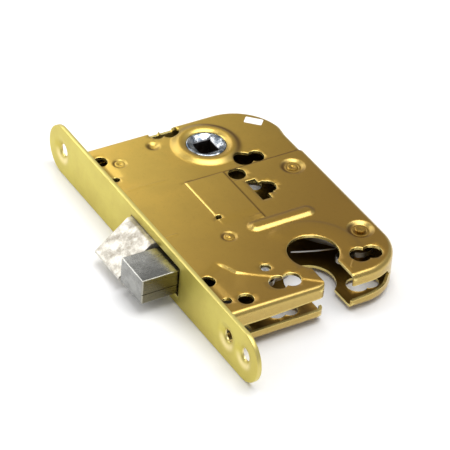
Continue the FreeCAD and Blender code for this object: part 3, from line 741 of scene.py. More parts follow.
# ---------------------------------------------------------------- the case
@dataclass
class CaseShell:
    """One of the two pressed shells of the case."""

    name: str
    node: str
    material: bpy.types.Material
    under: bool = False
    half: float = 8.2
    sheet: float = 1.2
    bend: float = 2.4
    top_x: float = -18.0
    bottom_x: float = 100.5
    front_y: float = 2.0
    back_y: float = 85.0
    top_corner: float = 22.0
    bottom_corner: float = 19.0
    lip: float = 0.16
    lip_drop: float = 0.11
    pillars: tuple[Place, ...] = ((-3.6, 11.6), (57.3, 27.1), (28.0, 74.5), (75.7, 76.7))
    panel: tuple[float, float, float, float] = (19.5, 29.0, 49.7, 46.6)
    crease: tuple[Place, ...] = ((68.5, 13.4), (74.6, 16.6), (78.0, 17.9), (82.2, 23.2), (87.0, 30.2),
                                 (92.6, 39.0), (97.8, 45.4))
    slot: tuple[float, float, float, float] = (80.0, 45.85, 106.0, 58.15)
    lips: tuple[RoundedCorner, ...] = (RoundedCorner(100.5, 45.85, 1, 1, 3.0),
                                       RoundedCorner(100.5, 58.15, 1, -1, 0.9))
    hub_hole: float = 8.45
    boss_height: float = 1.2
    dimple_wide: tuple[float, ...] = (3.3, 3.7, 5.7, 6.1)
    dimple_deep: tuple[float, ...] = (0.4, 0.42, 0.85, 1.1)
    panel_height: float = 0.36
    run_on_height: float = 0.25
    run_on_end: Place = (52.0, 53.0)
    seam_drop: float = 0.24
    rib: tuple[Place, ...] = ((56.4, 40.0), (56.4, 63.6))
    rib_height: float = 0.95
    crease_drop: float = 0.62
    collar_height: float = 0.28
    ridges: tuple[tuple[tuple[Place, Place], float], ...] = (
        (((85.3, 68.9), (94.8, 60.4)), 0.16), (((13.6, 5.0), (14.4, 22.0)), 0.06),
        (((47.0, 3.5), (47.2, 9.0)), 0.12))
    dent: Place = (-8.5, 29.8)
    dent_depth: float = 0.85
    hollows: tuple[Place, ...] = ((-6.5, 4.6), (80.5, 90.2))
    hollow_depth: float = 0.5
    back_step: float = 0.9
    bend_steps: tuple[float, ...] = (0.0, 0.035, 0.155, 0.36, 0.66, 1.03, 1.5, 1.97, 2.4)

    def openings(self) -> list[Opening]:
        """Everything that is punched through the shell."""
        ways = [Circle(14.7, 59.1, 4.25), Circle(15.3, 64.8, 3.55), Circle(-14.7, 40.9, 4.25),
                Circle(-15.3, 35.2, 3.4), Circle(90.4, 29.7, 3.9), Circle(91.1, 35.3, 3.85),
                Circle(89.7, 67.8, 4.4), Circle(90.1, 73.1, 4.1)]
        key = [Block(28.7, 51.6, 42.5, 56.0), Circle(35.5, 58.0, 3.7), Block(31.4, 55.0, 39.6, 58.6)]
        small = [Circle(22.8, 51.2, 3.7), Circle(80.5, 29.8, 2.2), Circle(93.8, 13.1, 3.25),
                 Circle(91.5, 6.0, 2.0), Circle(78.0, 5.6, 2.9), Circle(-8.2, 5.3, 2.9),
                 Circle(5.2, 5.0, 1.7), Circle(44.9, 29.6, 1.3)]
        cylinder = [Circle(*CYLINDER, 10.5), Block(*self.slot, cuts_rim=True), *self.lips]
        stubs = [Circle(x, y, 1.83) for x, y in self.pillars]
        return [*ways, *key, *small, *cylinder, *stubs, Circle(*AXIS, self.hub_hole)]

    def inset(self, x: Array, y: Array) -> tuple[Array, Array, Array]:
        """How far points lie inside the outline, and the direction straight out of it."""
        top = x - self.top_x
        bottom = self.bottom_x - x
        back = self.back_y - y
        depth = np.minimum(np.minimum(top, bottom), back)
        out_x = np.where(depth == top, -1.0, np.where(depth == bottom, 1.0, 0.0))
        out_y = np.where((depth == back) & (depth != top) & (depth != bottom), 1.0, 0.0)
        for centre_x, side, radius in ((self.top_x + self.top_corner, -1, self.top_corner),
                                       (self.bottom_x - self.bottom_corner, 1, self.bottom_corner)):
            centre_y = self.back_y - radius
            corner = ((x - centre_x) * side > 0) & (y > centre_y)
            away = np.maximum(np.hypot(x - centre_x, y - centre_y), 1e-9)
            depth = np.where(corner, radius - away, depth)
            out_x = np.where(corner, (x - centre_x) / away, out_x)
            out_y = np.where(corner, (y - centre_y) / away, out_y)
        for lip in self.lips:
            lip_depth, lip_x, lip_y = lip.inset(x, y)
            nearer = lip_depth < depth
            depth, out_x, out_y = (np.where(nearer, new, old) for new, old in
                                   ((lip_depth, depth), (lip_x, out_x), (lip_y, out_y)))
        return depth, out_x, out_y

    def outline(self, inset: float) -> list[Place]:
        """The case's outline from the front round the back to the front again, drawn in by inset."""
        low, high, back = self.top_x + inset, self.bottom_x - inset, self.back_y - inset
        path = steps((high, self.front_y), (high, self.back_y - self.bottom_corner), 1.0)
        for centre_x, radius, first in ((self.bottom_x - self.bottom_corner, self.bottom_corner, 0.0),
                                        (self.top_x + self.top_corner, self.top_corner, math.pi / 2)):
            centre_y = self.back_y - radius
            count = 30
            for k in range(count):
                turn = first + math.pi / 2 * k / count
                path.append((centre_x + (radius - inset) * math.cos(turn),
                             centre_y + (radius - inset) * math.sin(turn)))
            if first == 0.0:
                path += steps((centre_x, back), (self.top_x + self.top_corner, back), 1.0)
        path += steps((low, self.back_y - self.top_corner), (low, self.front_y), 1.0)
        return path + [(low, self.front_y)]

    def boss(self, x: Array, y: Array) -> Array:
        """The raised ring round the follower."""
        radius, _ = polar(x, y, AXIS)
        inner = 0.35 + 0.85 * np.sin(np.clip((radius - self.hub_hole) / 2.6, 0, 1) * math.pi / 2)
        outer = self.boss_height * (1 - ease(radius, 11.2, 15.2))
        return np.where(radius < 11.05, inner, outer)

    def dimples(self, x: Array, y: Array) -> Array:
        """The round recesses that the pillars are riveted in."""
        depth = np.zeros(np.shape(x))
        for pillar, wide, deep in zip(self.pillars, self.dimple_wide, self.dimple_deep):
            away, _ = polar(x, y, pillar)
            depth = depth - deep * (1 - ease(away, wide * 0.56, wide)) + 0.16 * band(away, wide * 0.5, 0.35)
        return depth

    def pressings(self, x: Array, y: Array) -> Array:
        """The rib, panel, seams and creases that only the cover has."""
        low_x, low_y, high_x, high_y = self.panel
        panel_top = (high_y - 0.3, high_y + 0.15)
        rise = between(x, (low_x - 0.35, low_x + 0.25), (high_x - 5.0, high_x + 0.6))
        rise = rise * between(y, (low_y - 0.35, low_y + 0.15), panel_top)
        height = self.panel_height * rise
        run_on = between(x, (high_x - 0.6, high_x + 0.4), self.run_on_end) * ease(y, 42.0, panel_top[0])
        height = height + self.run_on_height * run_on * (1 - ease(y, *panel_top))
        beside = (1 - ease(x, 19.0, 19.5)) * ease(x, 4.0, 19.0) * ease(y, 30.0, 50.0)
        height = height - self.seam_drop * beside
        away, _, _ = reach_of_line(x, y, self.rib)
        height = height + self.rib_height * (1 - ease(away, 1.0, 3.9))
        away, side, share = reach_of_line(x, y, self.crease)
        drop = ease(away * -side, -0.9, 0.9) * band(away, 0.0, 15.0)
        drop = drop * ease(share, 0.0, 0.12) * (1 - 0.45 * ease(share, 0.3, 0.5))
        height = height - self.crease_drop * drop
        away, turn = polar(x, y, CYLINDER)
        part = np.clip(ease(turn, 62.0, 78.0) + (1 - ease(turn, -160.0, -138.0)), 0, 1)
        height = height + self.collar_height * (1 - ease(away, 18.2, 20.6)) * part * ease(away, 10.0, 16.0)
        for line, high in self.ridges:
            away, _, _ = reach_of_line(x, y, line)
            height = height + high * band(away, 0.0, 0.4)
        away, _ = polar(x, y, self.dent)
        height = height - self.dent_depth * (1 - ease(away, 0.6, 3.5))
        for start, end in self.hollows:
            along = between(x, (start - 1.2, start + 0.8), (end - 0.8, end + 1.2))
            height = height - self.hollow_depth * band(y, 5.4, 2.2) * along
        return height

    def height(self, x: Array, y: Array) -> Array:
        """How far the outer face stands out of the case's flat side."""
        depth = self.inset(x, y)[0]
        fade = ease(depth, 0.2, 2.4)
        pressed = self.dimples(x, y) + (0.0 if self.under else self.pressings(x, y))
        return np.maximum(self.boss(x, y), 0) + pressed * fade

    def slope(self, x: Array, y: Array) -> tuple[Array, Array]:
        """How fast the outer face rises along X and along Y."""
        near = 0.25
        return ((self.height(x + near, y) - self.height(x - near, y)) / (2 * near),
                (self.height(x, y + near) - self.height(x, y - near)) / (2 * near))

    def gap(self, x: Array, y: Array) -> Array:
        """The distance to the nearest opening's edge, negative inside one."""
        return np.minimum.reduce([opening.gap(x, y) for opening in self.openings()])

    def clear(self, x: Array, y: Array) -> Array:
        """How far points lie from the lines that the cut follows."""
        gap = self.gap(x, y)
        bend = self.inset(x, y)[0] - self.bend - 0.05
        return np.minimum.reduce([np.abs(gap), np.abs(gap - self.lip), bend, y - self.front_y])

    def rim_end(self, x: float, y: float) -> float:
        """The level, on the cover's side, where the shell's rim ends."""
        shut = 0.15
        if x < 90.0 or y > 78.0:
            return shut
        rise = float(ease(np.array(y), 75.5, 78.0))
        if self.under:
            open_end = 3.7 if y < 50 else 4.3 - 1.2 * (y - 58.0) / 17.0
        else:
            open_end = 1.2 + 1.2 * max(0.0, min(1.0, (y - 18.0) / 26.0)) if y < 50 else 3.1
        return open_end * (1 - rise) + shut * rise

    def build(self) -> None:
        """Makes the shell as one closed sheet of even thickness and fits it."""
        openings = self.openings()
        cut = FlatCut(self.height, lambda x, y: (self.gap(x, y) > 0) & (self.inset(x, y)[0] > 0), self.clear,
                      lambda x, y: self.inset(x, y)[0] > 0, (self.top_x, self.front_y),
                      (self.bottom_x, self.back_y), levels=3 if self.under else 4)
        cut.paths = [(self.outline(inset), False) for inset in self.bend_steps]
        cut.paths.append((steps((self.top_x, self.front_y), (self.bottom_x, self.front_y), 1.2), False))
        for opening in openings:
            cut.paths += [(opening.loop(grow, 0.42), True) for grow in (0.0, self.lip)]
        flat, corners, rim = cut.triangles()
        depth, out_x, out_y = self.inset(flat[:, 0], flat[:, 1])
        sine = np.clip(1 - depth / self.bend, 0, 1)
        cosine = np.sqrt(np.maximum(1 - sine ** 2, 0))
        gap = self.gap(flat[:, 0], flat[:, 1])
        level = self.half + self.height(flat[:, 0], flat[:, 1]) - self.bend * (1 - cosine)
        level = level - self.lip_drop * (1 - ease(gap, 0.0, self.lip))
        points = [(x, y, z) for (x, y), z in zip(flat, level)]
        normals = [(ox * s, oy * s, c) for ox, oy, s, c in zip(out_x, out_y, sine, cosine)]
        faces = [tuple(face) for face in corners]
        rise_x, rise_y = self.slope(flat[:, 0], flat[:, 1])
        # painted highlight: slopes facing +X, slopes facing -Y and the bend into the rim are painted paler
        painted_highlight = np.clip(-1.3 * rise_x - 0.2, 0, 1) + np.clip(0.8 * rise_y - 0.1, 0, 1)
        painted_highlight = np.clip(painted_highlight, 0, 0.5) + 0.4 * ease(sine, 0.05, 0.5)
        wear_and_highlight = list(np.maximum(1 - ease(gap, 0.02, self.lip * 0.9), painted_highlight))
        # painted shade: slopes facing -X and slopes facing +Y are darkened
        painted_slope_shade = np.clip(1.1 * rise_x, 0, 1) + np.clip(-0.7 * rise_y, 0, 1)
        painted_shade = list(np.clip(self.painted_shade(flat[:, 0], flat[:, 1]) + np.clip(painted_slope_shade, 0, 0.55), 0, 1))
        self._add_rim(np.concatenate([rim, single_edges(corners)]), flat, points, normals, faces, wear_and_highlight, painted_shade)
        self._close(points, normals, faces, wear_and_highlight, painted_shade)

    def painted_shade(self, x: Array, y: Array) -> Array:
        """Painted shade on the seams, the dent's one side, the boss's outer slope and the recesses' far
        walls.
        """
        if self.under:
            return np.zeros(np.shape(x))
        dark = 1.3 * band(y, self.panel[3] + 0.05, 0.46) * between(x, (19.2, 19.8), self.run_on_end)
        dark = dark + 1.1 * band(x, 19.15, 0.42) * (0.35 + 0.65 * ease(y, 27.0, 36.0))
        dark = dark + 0.45 * band(x, self.panel[2], 0.25) * between(y, (29.5, 31.0), (45.5, 46.5))
        away, turn = polar(x, y, self.dent)
        dark = dark + 0.9 * band(away, 2.0, 1.0) * facing(turn, -108.0, -0.2, 0.9)
        away, turn = polar(x, y, AXIS)
        dark = dark + 0.7 * band(away, 13.4, 1.4) * facing(turn, 75.0, -0.1, 0.7)
        for pillar, wide in zip(self.pillars, self.dimple_wide):
            away, turn = polar(x, y, pillar)
            dark = dark + 0.9 * band(away, wide * 0.72, 0.8) * facing(turn, -130.0, 0.0, 0.9)
        return np.clip(dark, 0, 1)

    def _add_rim(self, rim: Array, flat: Array, points: list, normals: list, faces: list, wear_and_highlight: list,
                 painted_shade: list) -> None:
        """Adds the bent rim below the outline."""
        columns: dict[int, list[int]] = {}
        done: set[tuple[int, int]] = set()
        cutters = [opening for opening in self.openings() if opening.cuts_rim]
        rows = 5
        for start, end in rim:
            middle = (flat[start] + flat[end]) / 2
            on_outline = max(abs(self.inset(*flat[start])[0]), abs(self.inset(*flat[end])[0])) < 1e-3
            on_outline = on_outline and min(float(cutter.gap(*middle)) for cutter in cutters) >= 0
            on_arc = any(arc.out_of(*flat[start]) and arc.out_of(*flat[end]) for arc in self.lips)
            if not (on_outline or on_arc) or (start, end) in done:
                continue
            done.add((start, end))
            for corner in (start, end):
                if corner in columns:
                    continue
                x, y = flat[corner]
                _, out_x, out_y = self.inset(x, y)
                for arc in self.lips:
                    out_x, out_y = arc.out_of(x, y) or (out_x, out_y)
                first = points[corner][2]
                last = self.rim_end(x, y)
                columns[corner] = [corner]
                for row in range(1, rows + 1):
                    columns[corner].append(len(points))
                    points.append((x, y, first + (last - first) * row / rows))
                    normals.append((float(out_x), float(out_y), 0.0))
                    # the rim's face carries a painted highlight (0.35); its cut edge is worn paler (0.8)
                    wear_and_highlight.append(0.8 if row == rows else 0.35)
                    painted_shade.append(0.0)
            for row in range(rows):
                one, two = columns[start], columns[end]
                faces.append((one[row], one[row + 1], two[row + 1], two[row]))

    def _close(self, points: list, normals: list, faces: list, wear_and_highlight: list, painted_shade: list) -> None:
        """Adds the inner face and the cut edges, and fits the piece."""
        outer = np.array(points, float)
        inner = outer - self.sheet * np.array(normals, float)
        both = np.concatenate([outer, inner])
        edge = np.minimum(self.gap(outer[:, 0], outer[:, 1]), 100.0)
        # painted shade: the inner face darkens away from the cut edges, inside the case where shade falls
        inner_painted_shade = 0.1 + 0.85 * ease(edge, 0.2, 1.6)
        if self.under:
            both[:, 2] *= -1
        else:
            x, y = both[:, 0], both[:, 1]
            both[:, 1] -= self.back_step * (1 - ease(x, 18.9, 19.6)) * ease(y, 62.0, 84.0) * ease(x, 0.0, 8.0)
        paint = {"wear_and_highlight": np.array(wear_and_highlight + wear_and_highlight), "painted_shade": np.array(painted_shade + list(inner_painted_shade))}
        piece = Maker.piece(self.name, both, closed(faces, len(outer)), paint, sharp=38.0)
        Maker.fit(piece, "case", "case_zinc", self.material, (self.node,))


# ---------------------------------------------------------------- the forend
@dataclass
class Forend:
    """The long face plate with round ends."""

    material: bpy.types.Material
    low_x: float = -42.2
    high_x: float = 125.1
    width: float = 22.0
    thickness: float = 2.0
    edge: float = 0.42
    lip: float = 0.15
    screws: tuple[float, ...] = (-31.3, 101.9, 114.5)
    screw_radius: float = 2.7
    dish_radius: float = 6.6
    dish_depth: float = 1.15
    slot: tuple[float, float, float, float] = (26.6, -6.9, 65.7, 6.9)
    edge_steps: tuple[float, ...] = (0.0, 0.05, 0.12, 0.21, 0.31, 0.42)

    def inset(self, x: Array, z: Array) -> Array:
        """How far points lie inside the plate's outline."""
        end = self.width / 2
        centre = np.clip(x, self.low_x + end, self.high_x - end)
        return end - np.hypot(x - centre, z)

    def outline(self, inset: float) -> list[Place]:
        """The plate's outline, drawn in by inset."""
        end = self.width / 2
        reach = end - inset
        low, high = self.low_x + end, self.high_x - end
        path: list[Place] = steps((low, -reach), (high, -reach), 1.5)
        turns = np.linspace(0, math.pi, 49)[:-1]
        path += [(high + reach * math.sin(turn), -reach * math.cos(turn)) for turn in turns]
        path += steps((high, reach), (low, reach), 1.5)
        return path + [(low - reach * math.sin(turn), reach * math.cos(turn)) for turn in turns]

    def openings(self) -> list[Opening]:
        """The screw holes and the bolts' slot."""
        return [Circle(x, 0.0, self.screw_radius) for x in self.screws] + [Block(*self.slot)]

    def gap(self, x: Array, z: Array) -> Array:
        """The distance to the nearest opening's edge, negative inside one."""
        return np.minimum.reduce([opening.gap(x, z) for opening in self.openings()])

    def clear(self, x: Array, z: Array) -> Array:
        """How far points lie from the lines that the cut follows."""
        gap = self.gap(x, z)
        return np.minimum.reduce([np.abs(gap), np.abs(gap - self.lip), self.inset(x, z) - self.edge - 0.1])

    def depth(self, x: Array, z: Array) -> Array:
        """How far the front face lies behind the plate's flat front."""
        depth = np.zeros(np.shape(x))
        for screw in self.screws:
            away = np.hypot(x - screw, z)
            dish = self.dish_depth * (1 - ease(away, 1.6, self.dish_radius))
            depth = np.maximum(depth, dish + 0.35 * (1 - ease(away, 2.7, 3.5)))
        return depth

    def build(self) -> None:
        """Makes the plate and fits it."""
        cut = FlatCut(self.depth, lambda x, z: (self.gap(x, z) > 0) & (self.inset(x, z) > 0), self.clear,
                      lambda x, z: self.inset(x, z) > 0, (self.low_x, -self.width / 2),
                      (self.high_x, self.width / 2), coarse=2.0, tolerance=0.008)
        cut.paths = [(self.outline(inset), True) for inset in self.edge_steps]
        for opening in self.openings():
            cut.paths += [(opening.loop(grow, 0.5), True) for grow in (0.0, self.lip)]
        flat, corners, _ = cut.triangles()
        inset = self.inset(flat[:, 0], flat[:, 1])
        gap = self.gap(flat[:, 0], flat[:, 1])
        share = np.clip(1 - inset / self.edge, 0, 1)
        rounding = self.edge * (1 - np.sqrt(np.maximum(1 - share ** 2, 0)))
        front = self.depth(flat[:, 0], flat[:, 1]) + rounding + 0.1 * (1 - ease(gap, 0, self.lip))
        back = self.thickness - 0.5 * rounding
        points = [(x, y, z) for side in (front, back) for (x, z), y in zip(flat, side)]
        wear_and_highlight = np.clip(0.3 * band(inset, 0.0, 0.25) + 0.8 * (1 - ease(gap, 0.02, 0.14)), 0, 1)
        # painted highlight: a pale crescent on the -Z side of each screw's dish
        for screw in self.screws:
            away, turn = polar(flat[:, 0], flat[:, 1], (screw, 0.0))
            wear_and_highlight = np.maximum(wear_and_highlight, 0.9 * band(away, 4.5, 1.2) * facing(turn, -90.0, -0.1, 0.8))
        paint = {"wear_and_highlight": np.concatenate([wear_and_highlight, wear_and_highlight])}
        piece = Maker.piece("forend_plate", points, closed(corners, len(flat)), paint, sharp=40.0)
        Maker.fit(piece, "case", "forend_zinc", self.material, ("forend",))


# ---------------------------------------------------------------- the rivets
@dataclass
class Pillars:
    """The shouldered posts whose ends are riveted over in the shells' recesses."""

    material: bpy.types.Material
    case_inner: float = 7.0
    radius: float = 3.0
    stub: float = 1.8
    places: dict[str, tuple[float, float, float, float]] = field(default_factory=lambda: {
        "pillar_front_top": (-3.6, 11.6, 8.05, 0.5), "pillar_front_bottom": (57.3, 27.1, 8.1, -0.35),
        "pillar_rear_top": (28.0, 74.5, 7.85, 0.45), "pillar_rear_bottom": (75.7, 76.7, 8.55, 0.12)})

    def build(self) -> None:
        """Turns each post with its two riveted ends."""
        for node, (x, y, top, pit) in self.places.items():
            head = self._head(top, pit)
            foot = [(radius, -level) for radius, level in reversed(self._head(8.05, 0.3))]
            barrel = [(self.stub, -self.case_inner), (self.radius, -self.case_inner),
                      (self.radius, self.case_inner), (self.stub, self.case_inner)]
            piece = Maker.lathe(f"{node}_rivet", (x, y), foot + barrel + head, 48)
            Maker.fit(piece, "case", "case_zinc", self.material, (node,))

    def _head(self, top: float, pit: float) -> list[Place]:
        """The upset end of a post, from stub to middle, with a pit or, where that is negative, a crown."""
        wide = self.stub + 0.45
        return [(self.stub, top - 0.9), (wide, top - 0.62), (wide + 0.02, top - 0.35),
                (wide - 0.2, top - 0.1), (wide - 0.55, top), (wide - 0.95, top - 0.04),
                (0.72, top - pit * 0.35), (0.4, top - pit), (0.0, top - pit * 1.1)]


# ---------------------------------------------------------------- the bolts
@dataclass
class LatchBolt:
    """The cast latch bolt with its bevel, tail and return spring."""

    cast: bpy.types.Material
    steel: bpy.types.Material
    spring: bpy.types.Material
    travel: float = 15.4

    def build(self) -> None:
        """Makes the head and dresses what is behind it."""
        Maker.eased("latch_bolt_head", "latch_head", self.cast, "latch_metal", 0.28, 3)
        Maker.eased("latch_bolt_rivet", "latch_rivet", self.steel)
        Maker.eased("latch_bolt_tail", "latch_tail", self.steel, width=0.18)
        self._coil()

    def _coil(self) -> None:
        """Makes the return spring from a copy of the CAD coil."""
        mesh = frame["nodes"]["latch_spring"].data.copy()
        mesh.name = "latch_bolt_coil"
        coil = bpy.data.objects.new(mesh.name, mesh)
        bpy.context.scene.collection.objects.link(coil)
        Maker.fit(coil, "case", "spring_steel", self.spring, ("latch_spring",))
        low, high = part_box("latch_spring")
        length = high[1] - low[1]
        1 - self.travel * MM / length
        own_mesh(coil)


@dataclass
class DeadBolt:
    """The square dead bolt and the plate that moves it."""

    steel: bpy.types.Material
    inner: bpy.types.Material
    low_x: float = 48.0
    high_x: float = 64.9
    nose_y: float = -16.0
    tail_y: float = 7.0
    half: float = 5.6
    edge: float = 0.42
    groove: tuple[float, float, float] = (-1.4, -1.0, 0.2)

    def build(self) -> None:
        """Makes the head, its plate and its rivets."""
        head = self._block()
        Maker.fit(head, "dead_bolt", "dead_bolt_steel", self.steel, ("dead_bolt_head",))
        Maker.eased("dead_bolt_slide_plate", "dead_bolt_plate", self.inner)
        Maker.eased("dead_bolt_rivet_pair", "dead_bolt_rivets", self.inner)

    def _block(self) -> bpy.types.Object:
        """Makes the head: a square bar with rounded edges and a groove along each side."""
        low, high, deep = self.groove
        edge = self.edge
        section: list[Place] = []
        for side_x, side_z, first in ((1, 1, 0.0), (-1, 1, 0.5), (-1, -1, 1.0), (1, -1, 1.5)):
            side = self.high_x if side_x > 0 else self.low_x
            centre = (side - side_x * edge, side_z * (self.half - edge))
            section += [(centre[0] + edge * math.cos(turn), centre[1] + edge * math.sin(turn))
                        for turn in (math.pi * (first + 0.5 * k / 4) for k in range(5))]
            if side_x != side_z:
                enter, leave = (high, low) if side_x < 0 else (low, high)
                bottom = side - side_x * deep
                section += [(side, enter), (bottom, enter), (bottom, leave), (side, leave)]
        rings = [(self.nose_y + edge * (1 - math.sin(turn)), edge * (1 - math.cos(turn)))
                 for turn in (math.pi / 2 * (1 - k / 4) for k in range(5))]
        rings += [(self.nose_y + edge * 1.5, 0.0), (self.tail_y, 0.0)]
        points, paint = [], []
        for y, inset in rings:
            for x, z in section:
                points.append((min(max(x, self.low_x + inset), self.high_x - inset), y,
                               min(max(z, -self.half + inset), self.half - inset)))
                from_side = min(abs(x - self.low_x), abs(x - self.high_x))
                rounded = from_side > 0.01 and 0.01 < abs(abs(z) - self.half) < edge
                at_nose = self.nose_y + 0.01 < y < self.nose_y + edge + 0.01
                paint.append(0.3 if at_nose or rounded else 0.0)
        size = len(section)
        faces = [face for number in range(len(rings) - 1) for face in joined(number, number + 1, size)]
        faces += [tuple(range(size)), tuple(range((len(rings) - 1) * size, len(rings) * size))]
        return Maker.piece("dead_bolt_block", points, faces, {"wear_and_highlight": np.array(paint)}, sharp=30.0)


@dataclass
class Follower:
    """The bright hub that the handle's spindle turns, with its lever and coil."""

    nickel: bpy.types.Material
    steel: bpy.types.Material
    spring: bpy.types.Material
    radius: float = 8.35
    proud: float = 8.6
    square: float = 8.1

    def build(self) -> None:
        """Makes the hub and its lever and dresses the coil."""
        hub = self._hub()
        Maker.fit(hub, "follower", "follower_nickel", self.nickel, ("follower_hub",))
        Maker.eased("follower_arm", "follower_lever", self.steel)
        InnerParts.dress("follower_spring", self.spring)

    def _hub(self) -> bpy.types.Object:
        """Makes the hub: a turned rim, a dished face and the square hole, the same on both ends."""
        count = 64
        wide, half = self.radius, self.square / 2
        # half width, how far below the top, from circle (0) to square (1), and painted shade inside the
        # square hole
        profile = ((wide, 0.45, 0.0, 0.0), (wide - 0.13, 0.14, 0.0, 0.0), (wide - 0.45, 0.0, 0.0, 0.0),
                   (wide - 1.15, 0.02, 0.0, 0.0), (wide - 1.6, 0.3, 0.0, 0.0), (half + 1.1, 0.95, 0.55, 0.1),
                   (half + 0.35, 1.35, 0.9, 0.3), (half, 1.75, 1.0, 0.6), (half, 3.6, 1.0, 1.0),
                   (half, self.proud - 0.5, 1.0, 1.0))
        turns = [math.pi / 4 + 2 * math.pi * k / count for k in range(count)]
        rings: list[list[Point]] = []
        painted_shade: list[float] = []
        for side, rows in ((1, profile), (-1, profile[::-1])):
            for reach, below, squareness, dark in rows:
                ring = []
                for c, s in ((math.cos(turn), math.sin(turn)) for turn in turns):
                    length = reach * (1 + (1 / max(abs(c), abs(s)) - 1) * squareness)
                    ring.append((AXIS[0] + length * c, AXIS[1] + length * s, side * (self.proud - below)))
                rings.append(ring)
                painted_shade.append(dark)
        points = [place for places in rings for place in places]
        faces = [face for number in range(len(rings))
                 for face in joined(number, (number + 1) % len(rings), count)]
        return Maker.piece("follower_ring", points, faces, {"painted_shade": np.repeat(painted_shade, count)}, sharp=24.0)


@dataclass
class InnerParts:
    """What is inside the case."""

    steel: bpy.types.Material
    bright: bpy.types.Material
    spring: bpy.types.Material
    zinc: bpy.types.Material
    black: bpy.types.Material

    @staticmethod
    def dress(node: str, material: bpy.types.Material) -> None:
        """Gives a CAD node a finish."""
        target = frame["nodes"][node]
        for slot in target.material_slots:
            slot.material = material
        LOG.info("%s keeps its CAD shape, finish %s", node, material.name)

    def build(self) -> None:
        """Makes and dresses the levers, pins, lugs and springs."""
        for node, material in (("throw_lever", self.steel), ("throw_pin", self.steel),
                               ("tumbler_lever", self.steel), ("latch_spring_seat", self.zinc),
                               ("forend_bracket_top", self.black), ("forend_bracket_bottom", self.black)):
            Maker.eased(f"{node}_part", node, material)
        self.dress("tumbler_spring", self.spring)
        profile = ((0.0, -7.0), (1.9, -7.0), (1.9, 6.7), (1.75, 7.1), (1.3, 7.3), (0.5, 7.2), (0.0, 7.15))
        pin = Maker.lathe("tumbler_pin_post", (80.5, 29.8), profile)
        Maker.fit(pin, "case", "inner_steel", self.bright, ("tumbler_pin",))
        self._leaf()

    def _leaf(self) -> None:
        """Makes the thin leaf beside the cylinder's way, bent a little along its length."""
        points = []
        count = 24
        for k in range(count + 1):
            share = k / count
            x = 69.0 + 7.0 * share + 1.0 * math.sin(share * math.pi)
            y = 49.0 + 24.5 * share
            for side, level in ((0.2, 0.85), (0.2, 1.55), (-0.2, 1.55), (-0.2, 0.85)):
                points.append((x + side, y, level))
        faces = [(4 * k + a, 4 * k + b, 4 * k + 4 + b, 4 * k + 4 + a)
                 for k in range(count) for a, b in ((0, 1), (1, 2), (2, 3), (3, 0))]
        faces += [(0, 1, 2, 3), tuple(4 * count + k for k in range(4))]
        piece = Maker.piece("detent_leaf", points, faces)
        bevel = piece.modifiers.new("broken_edges", "BEVEL")
        bevel.width = 0.06 * MM
        Maker.fit(piece, "case", "spring_steel", self.spring)


@dataclass
class Label:
    """The blank paper label near the case's top corner."""

    material: bpy.types.Material
    x: float = -6.0
    y: float = 76.3
    level: float = 8.2
    length: float = 7.6
    width: float = 4.2
    turn: float = 46.0
    thickness: float = 0.1

    def build(self) -> None:
        """Makes the label with worn corners and one edge lifted a little."""
        columns, rows = 16, 10
        points, wear_and_highlight = [], []
        angle = math.radians(self.turn)
        for side in (0.0, self.thickness):
            for column in range(columns + 1):
                for row in range(rows + 1):
                    u = (column / columns - 0.5) * self.length
                    v = (row / rows - 0.5) * self.width
                    corner = max(0.0, abs(u) / self.length * 2 + abs(v) / self.width * 2 - 1.7)
                    u, v = u * (1 - 0.12 * corner), v * (1 - 0.12 * corner)
                    lift = 0.12 * max(0.0, u / self.length * 2 - 0.6) ** 2
                    points.append((self.x + u * math.cos(angle) - v * math.sin(angle),
                                   self.y + u * math.sin(angle) + v * math.cos(angle),
                                   self.level + side + lift))
                    wear_and_highlight.append(min(1.0, corner * 2))
        size = (columns + 1) * (rows + 1)
        firsts = [column * (rows + 1) + row for column in range(columns) for row in range(rows)]
        lower = [(first, first + 1, first + rows + 2, first + rows + 1) for first in firsts]
        piece = Maker.piece("blank_label", points, closed(lower, size), {"wear_and_highlight": np.array(wear_and_highlight)})
        Maker.fit(piece, "case", "label_paper", self.material, ("label",))


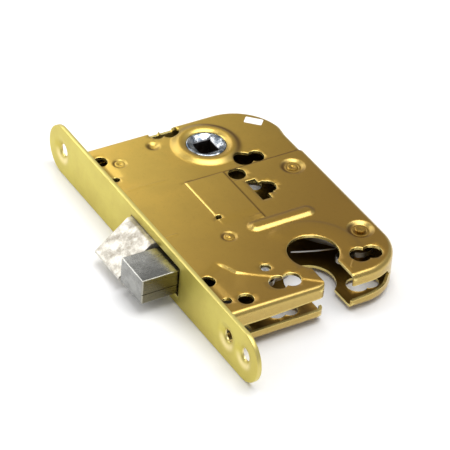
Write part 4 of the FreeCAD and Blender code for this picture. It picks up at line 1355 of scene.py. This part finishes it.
# ---------------------------------------------------------------- the studio
@dataclass
class Studio:
    """A pale floor, soft light and the camera. Sizes here are in metres."""

    camera_place: Point = (0.8097, -0.4709, 0.6959)
    camera_right: Point = (0.5066, 0.8596, 0.0658)
    camera_up: Point = (-0.5473, 0.2618, 0.7949)
    camera_back: Point = (0.6661, -0.4387, 0.6032)
    lens: float = 231.0
    sky: Colour = (1.0, 1.0, 1.0)
    sky_strength: float = 0.38
    aim: Point = (0.04, 0.04, 0.0)
    floor_front: Place = (0.0, -0.0112)
    floor_back: Place = (0.085, -0.0094)
    floor_reach: float = 6.0

    def build(self) -> None:
        """Makes the whole studio."""
        self._camera()
        self._floor()
        self._world()
        self._lamp("key_softbox", (-0.34, -0.28, 0.34), (0.42, 0.32), 1.3, (1.0, 0.99, 0.97))
        self._lamp("fall_off_softbox", (-0.47, 0.10, 0.35), (0.30, 0.30), 0.55, (1.0, 0.99, 0.97))
        self._lamp("top_softbox", (0.15, 0.20, 1.1), (0.9, 0.9), 10.5, (1.0, 1.0, 1.0))
        self._lamp("side_softbox", (0.7, -0.5, 0.25), (0.5, 0.3), 0.5, (1.0, 0.99, 0.96))

    def _camera(self) -> None:
        """Places the camera."""
        camera = bpy.data.cameras.new("camera")
        camera.lens = self.lens
        camera.sensor_width = 36.0
        camera.clip_start = 0.01
        holder = bpy.data.objects.new("camera", camera)
        turned = Matrix((self.camera_right, self.camera_up, self.camera_back)).transposed().to_4x4()
        holder.matrix_world = Matrix.Translation(self.camera_place) @ turned
        bpy.context.scene.collection.objects.link(holder)
        bpy.context.scene.camera = holder

    def _floor(self) -> None:
        """Lays the floor under the forend's lower edge and the back of the case."""
        front, back = self.floor_front, self.floor_back
        slope = math.atan2(back[1] - front[1], back[0] - front[0])
        along = Vector((0.0, math.cos(slope), math.sin(slope)))
        across = Vector((1.0, 0.0, 0.0))
        middle = Vector((self.aim[0], *front))
        corners = [middle + (across * a + along * b) * self.floor_reach
                   for a, b in ((-1, -1), (1, -1), (1, 1), (-1, 1))]
        mesh = bpy.data.meshes.new("floor")
        mesh.from_pydata([tuple(corner) for corner in corners], [], [(0, 1, 2, 3)])
        mesh.materials.append(FloorFinish("floor_white").material())
        floor = bpy.data.objects.new("floor", mesh)
        bpy.context.scene.collection.objects.link(floor)

    def _world(self) -> None:
        """Fills the room with even light."""
        world = bpy.data.worlds.new("room")
        world.use_nodes = True
        background = world.node_tree.nodes["Background"]
        background.inputs["Color"].default_value = (*self.sky, 1.0)
        background.inputs["Strength"].default_value = self.sky_strength
        bpy.context.scene.world = world
        bpy.context.scene.view_settings.view_transform = "Standard"

    def _lamp(self, name: str, place: Point, size: Place, power: float, colour: Colour) -> None:
        """Hangs one soft lamp that looks at the lock.

        Args:
            name: the lamp's name.
            place: where it hangs.
            size: its width and height.
            power: in watts.
            colour: its tint.
        """
        light = bpy.data.lights.new(name, "AREA")
        light.shape = "RECTANGLE"
        light.size, light.size_y = size
        light.energy = power
        light.color = colour
        lamp = bpy.data.objects.new(name, light)
        towards = Vector(self.aim) - Vector(place)
        lamp.matrix_world = Matrix.Translation(place) @ towards.to_track_quat("-Z", "Y").to_matrix().to_4x4()
        bpy.context.scene.collection.objects.link(lamp)


def main() -> None:
    """Builds the lock and its studio."""
    logging.basicConfig(level=logging.INFO, format="%(name)s: %(message)s")
    zinc, lemon, cast, drawn, nickel, steel, bright, black, wire = (metal.material() for metal in METALS)
    paper = PaperFinish("label_paper_white").material()
    Studio().build()
    parts = (CaseShell("case_cover_shell", "case_cover", zinc),
             CaseShell("case_base_shell", "case_base", zinc, under=True), Forend(lemon), Pillars(zinc),
             LatchBolt(cast, steel, wire), DeadBolt(drawn, steel), Follower(nickel, steel, wire),
             InnerParts(steel, bright, wire, zinc, black), Label(paper))
    for part in parts:
        part.build()
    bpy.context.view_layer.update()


if __name__ == "__main__":
    main()
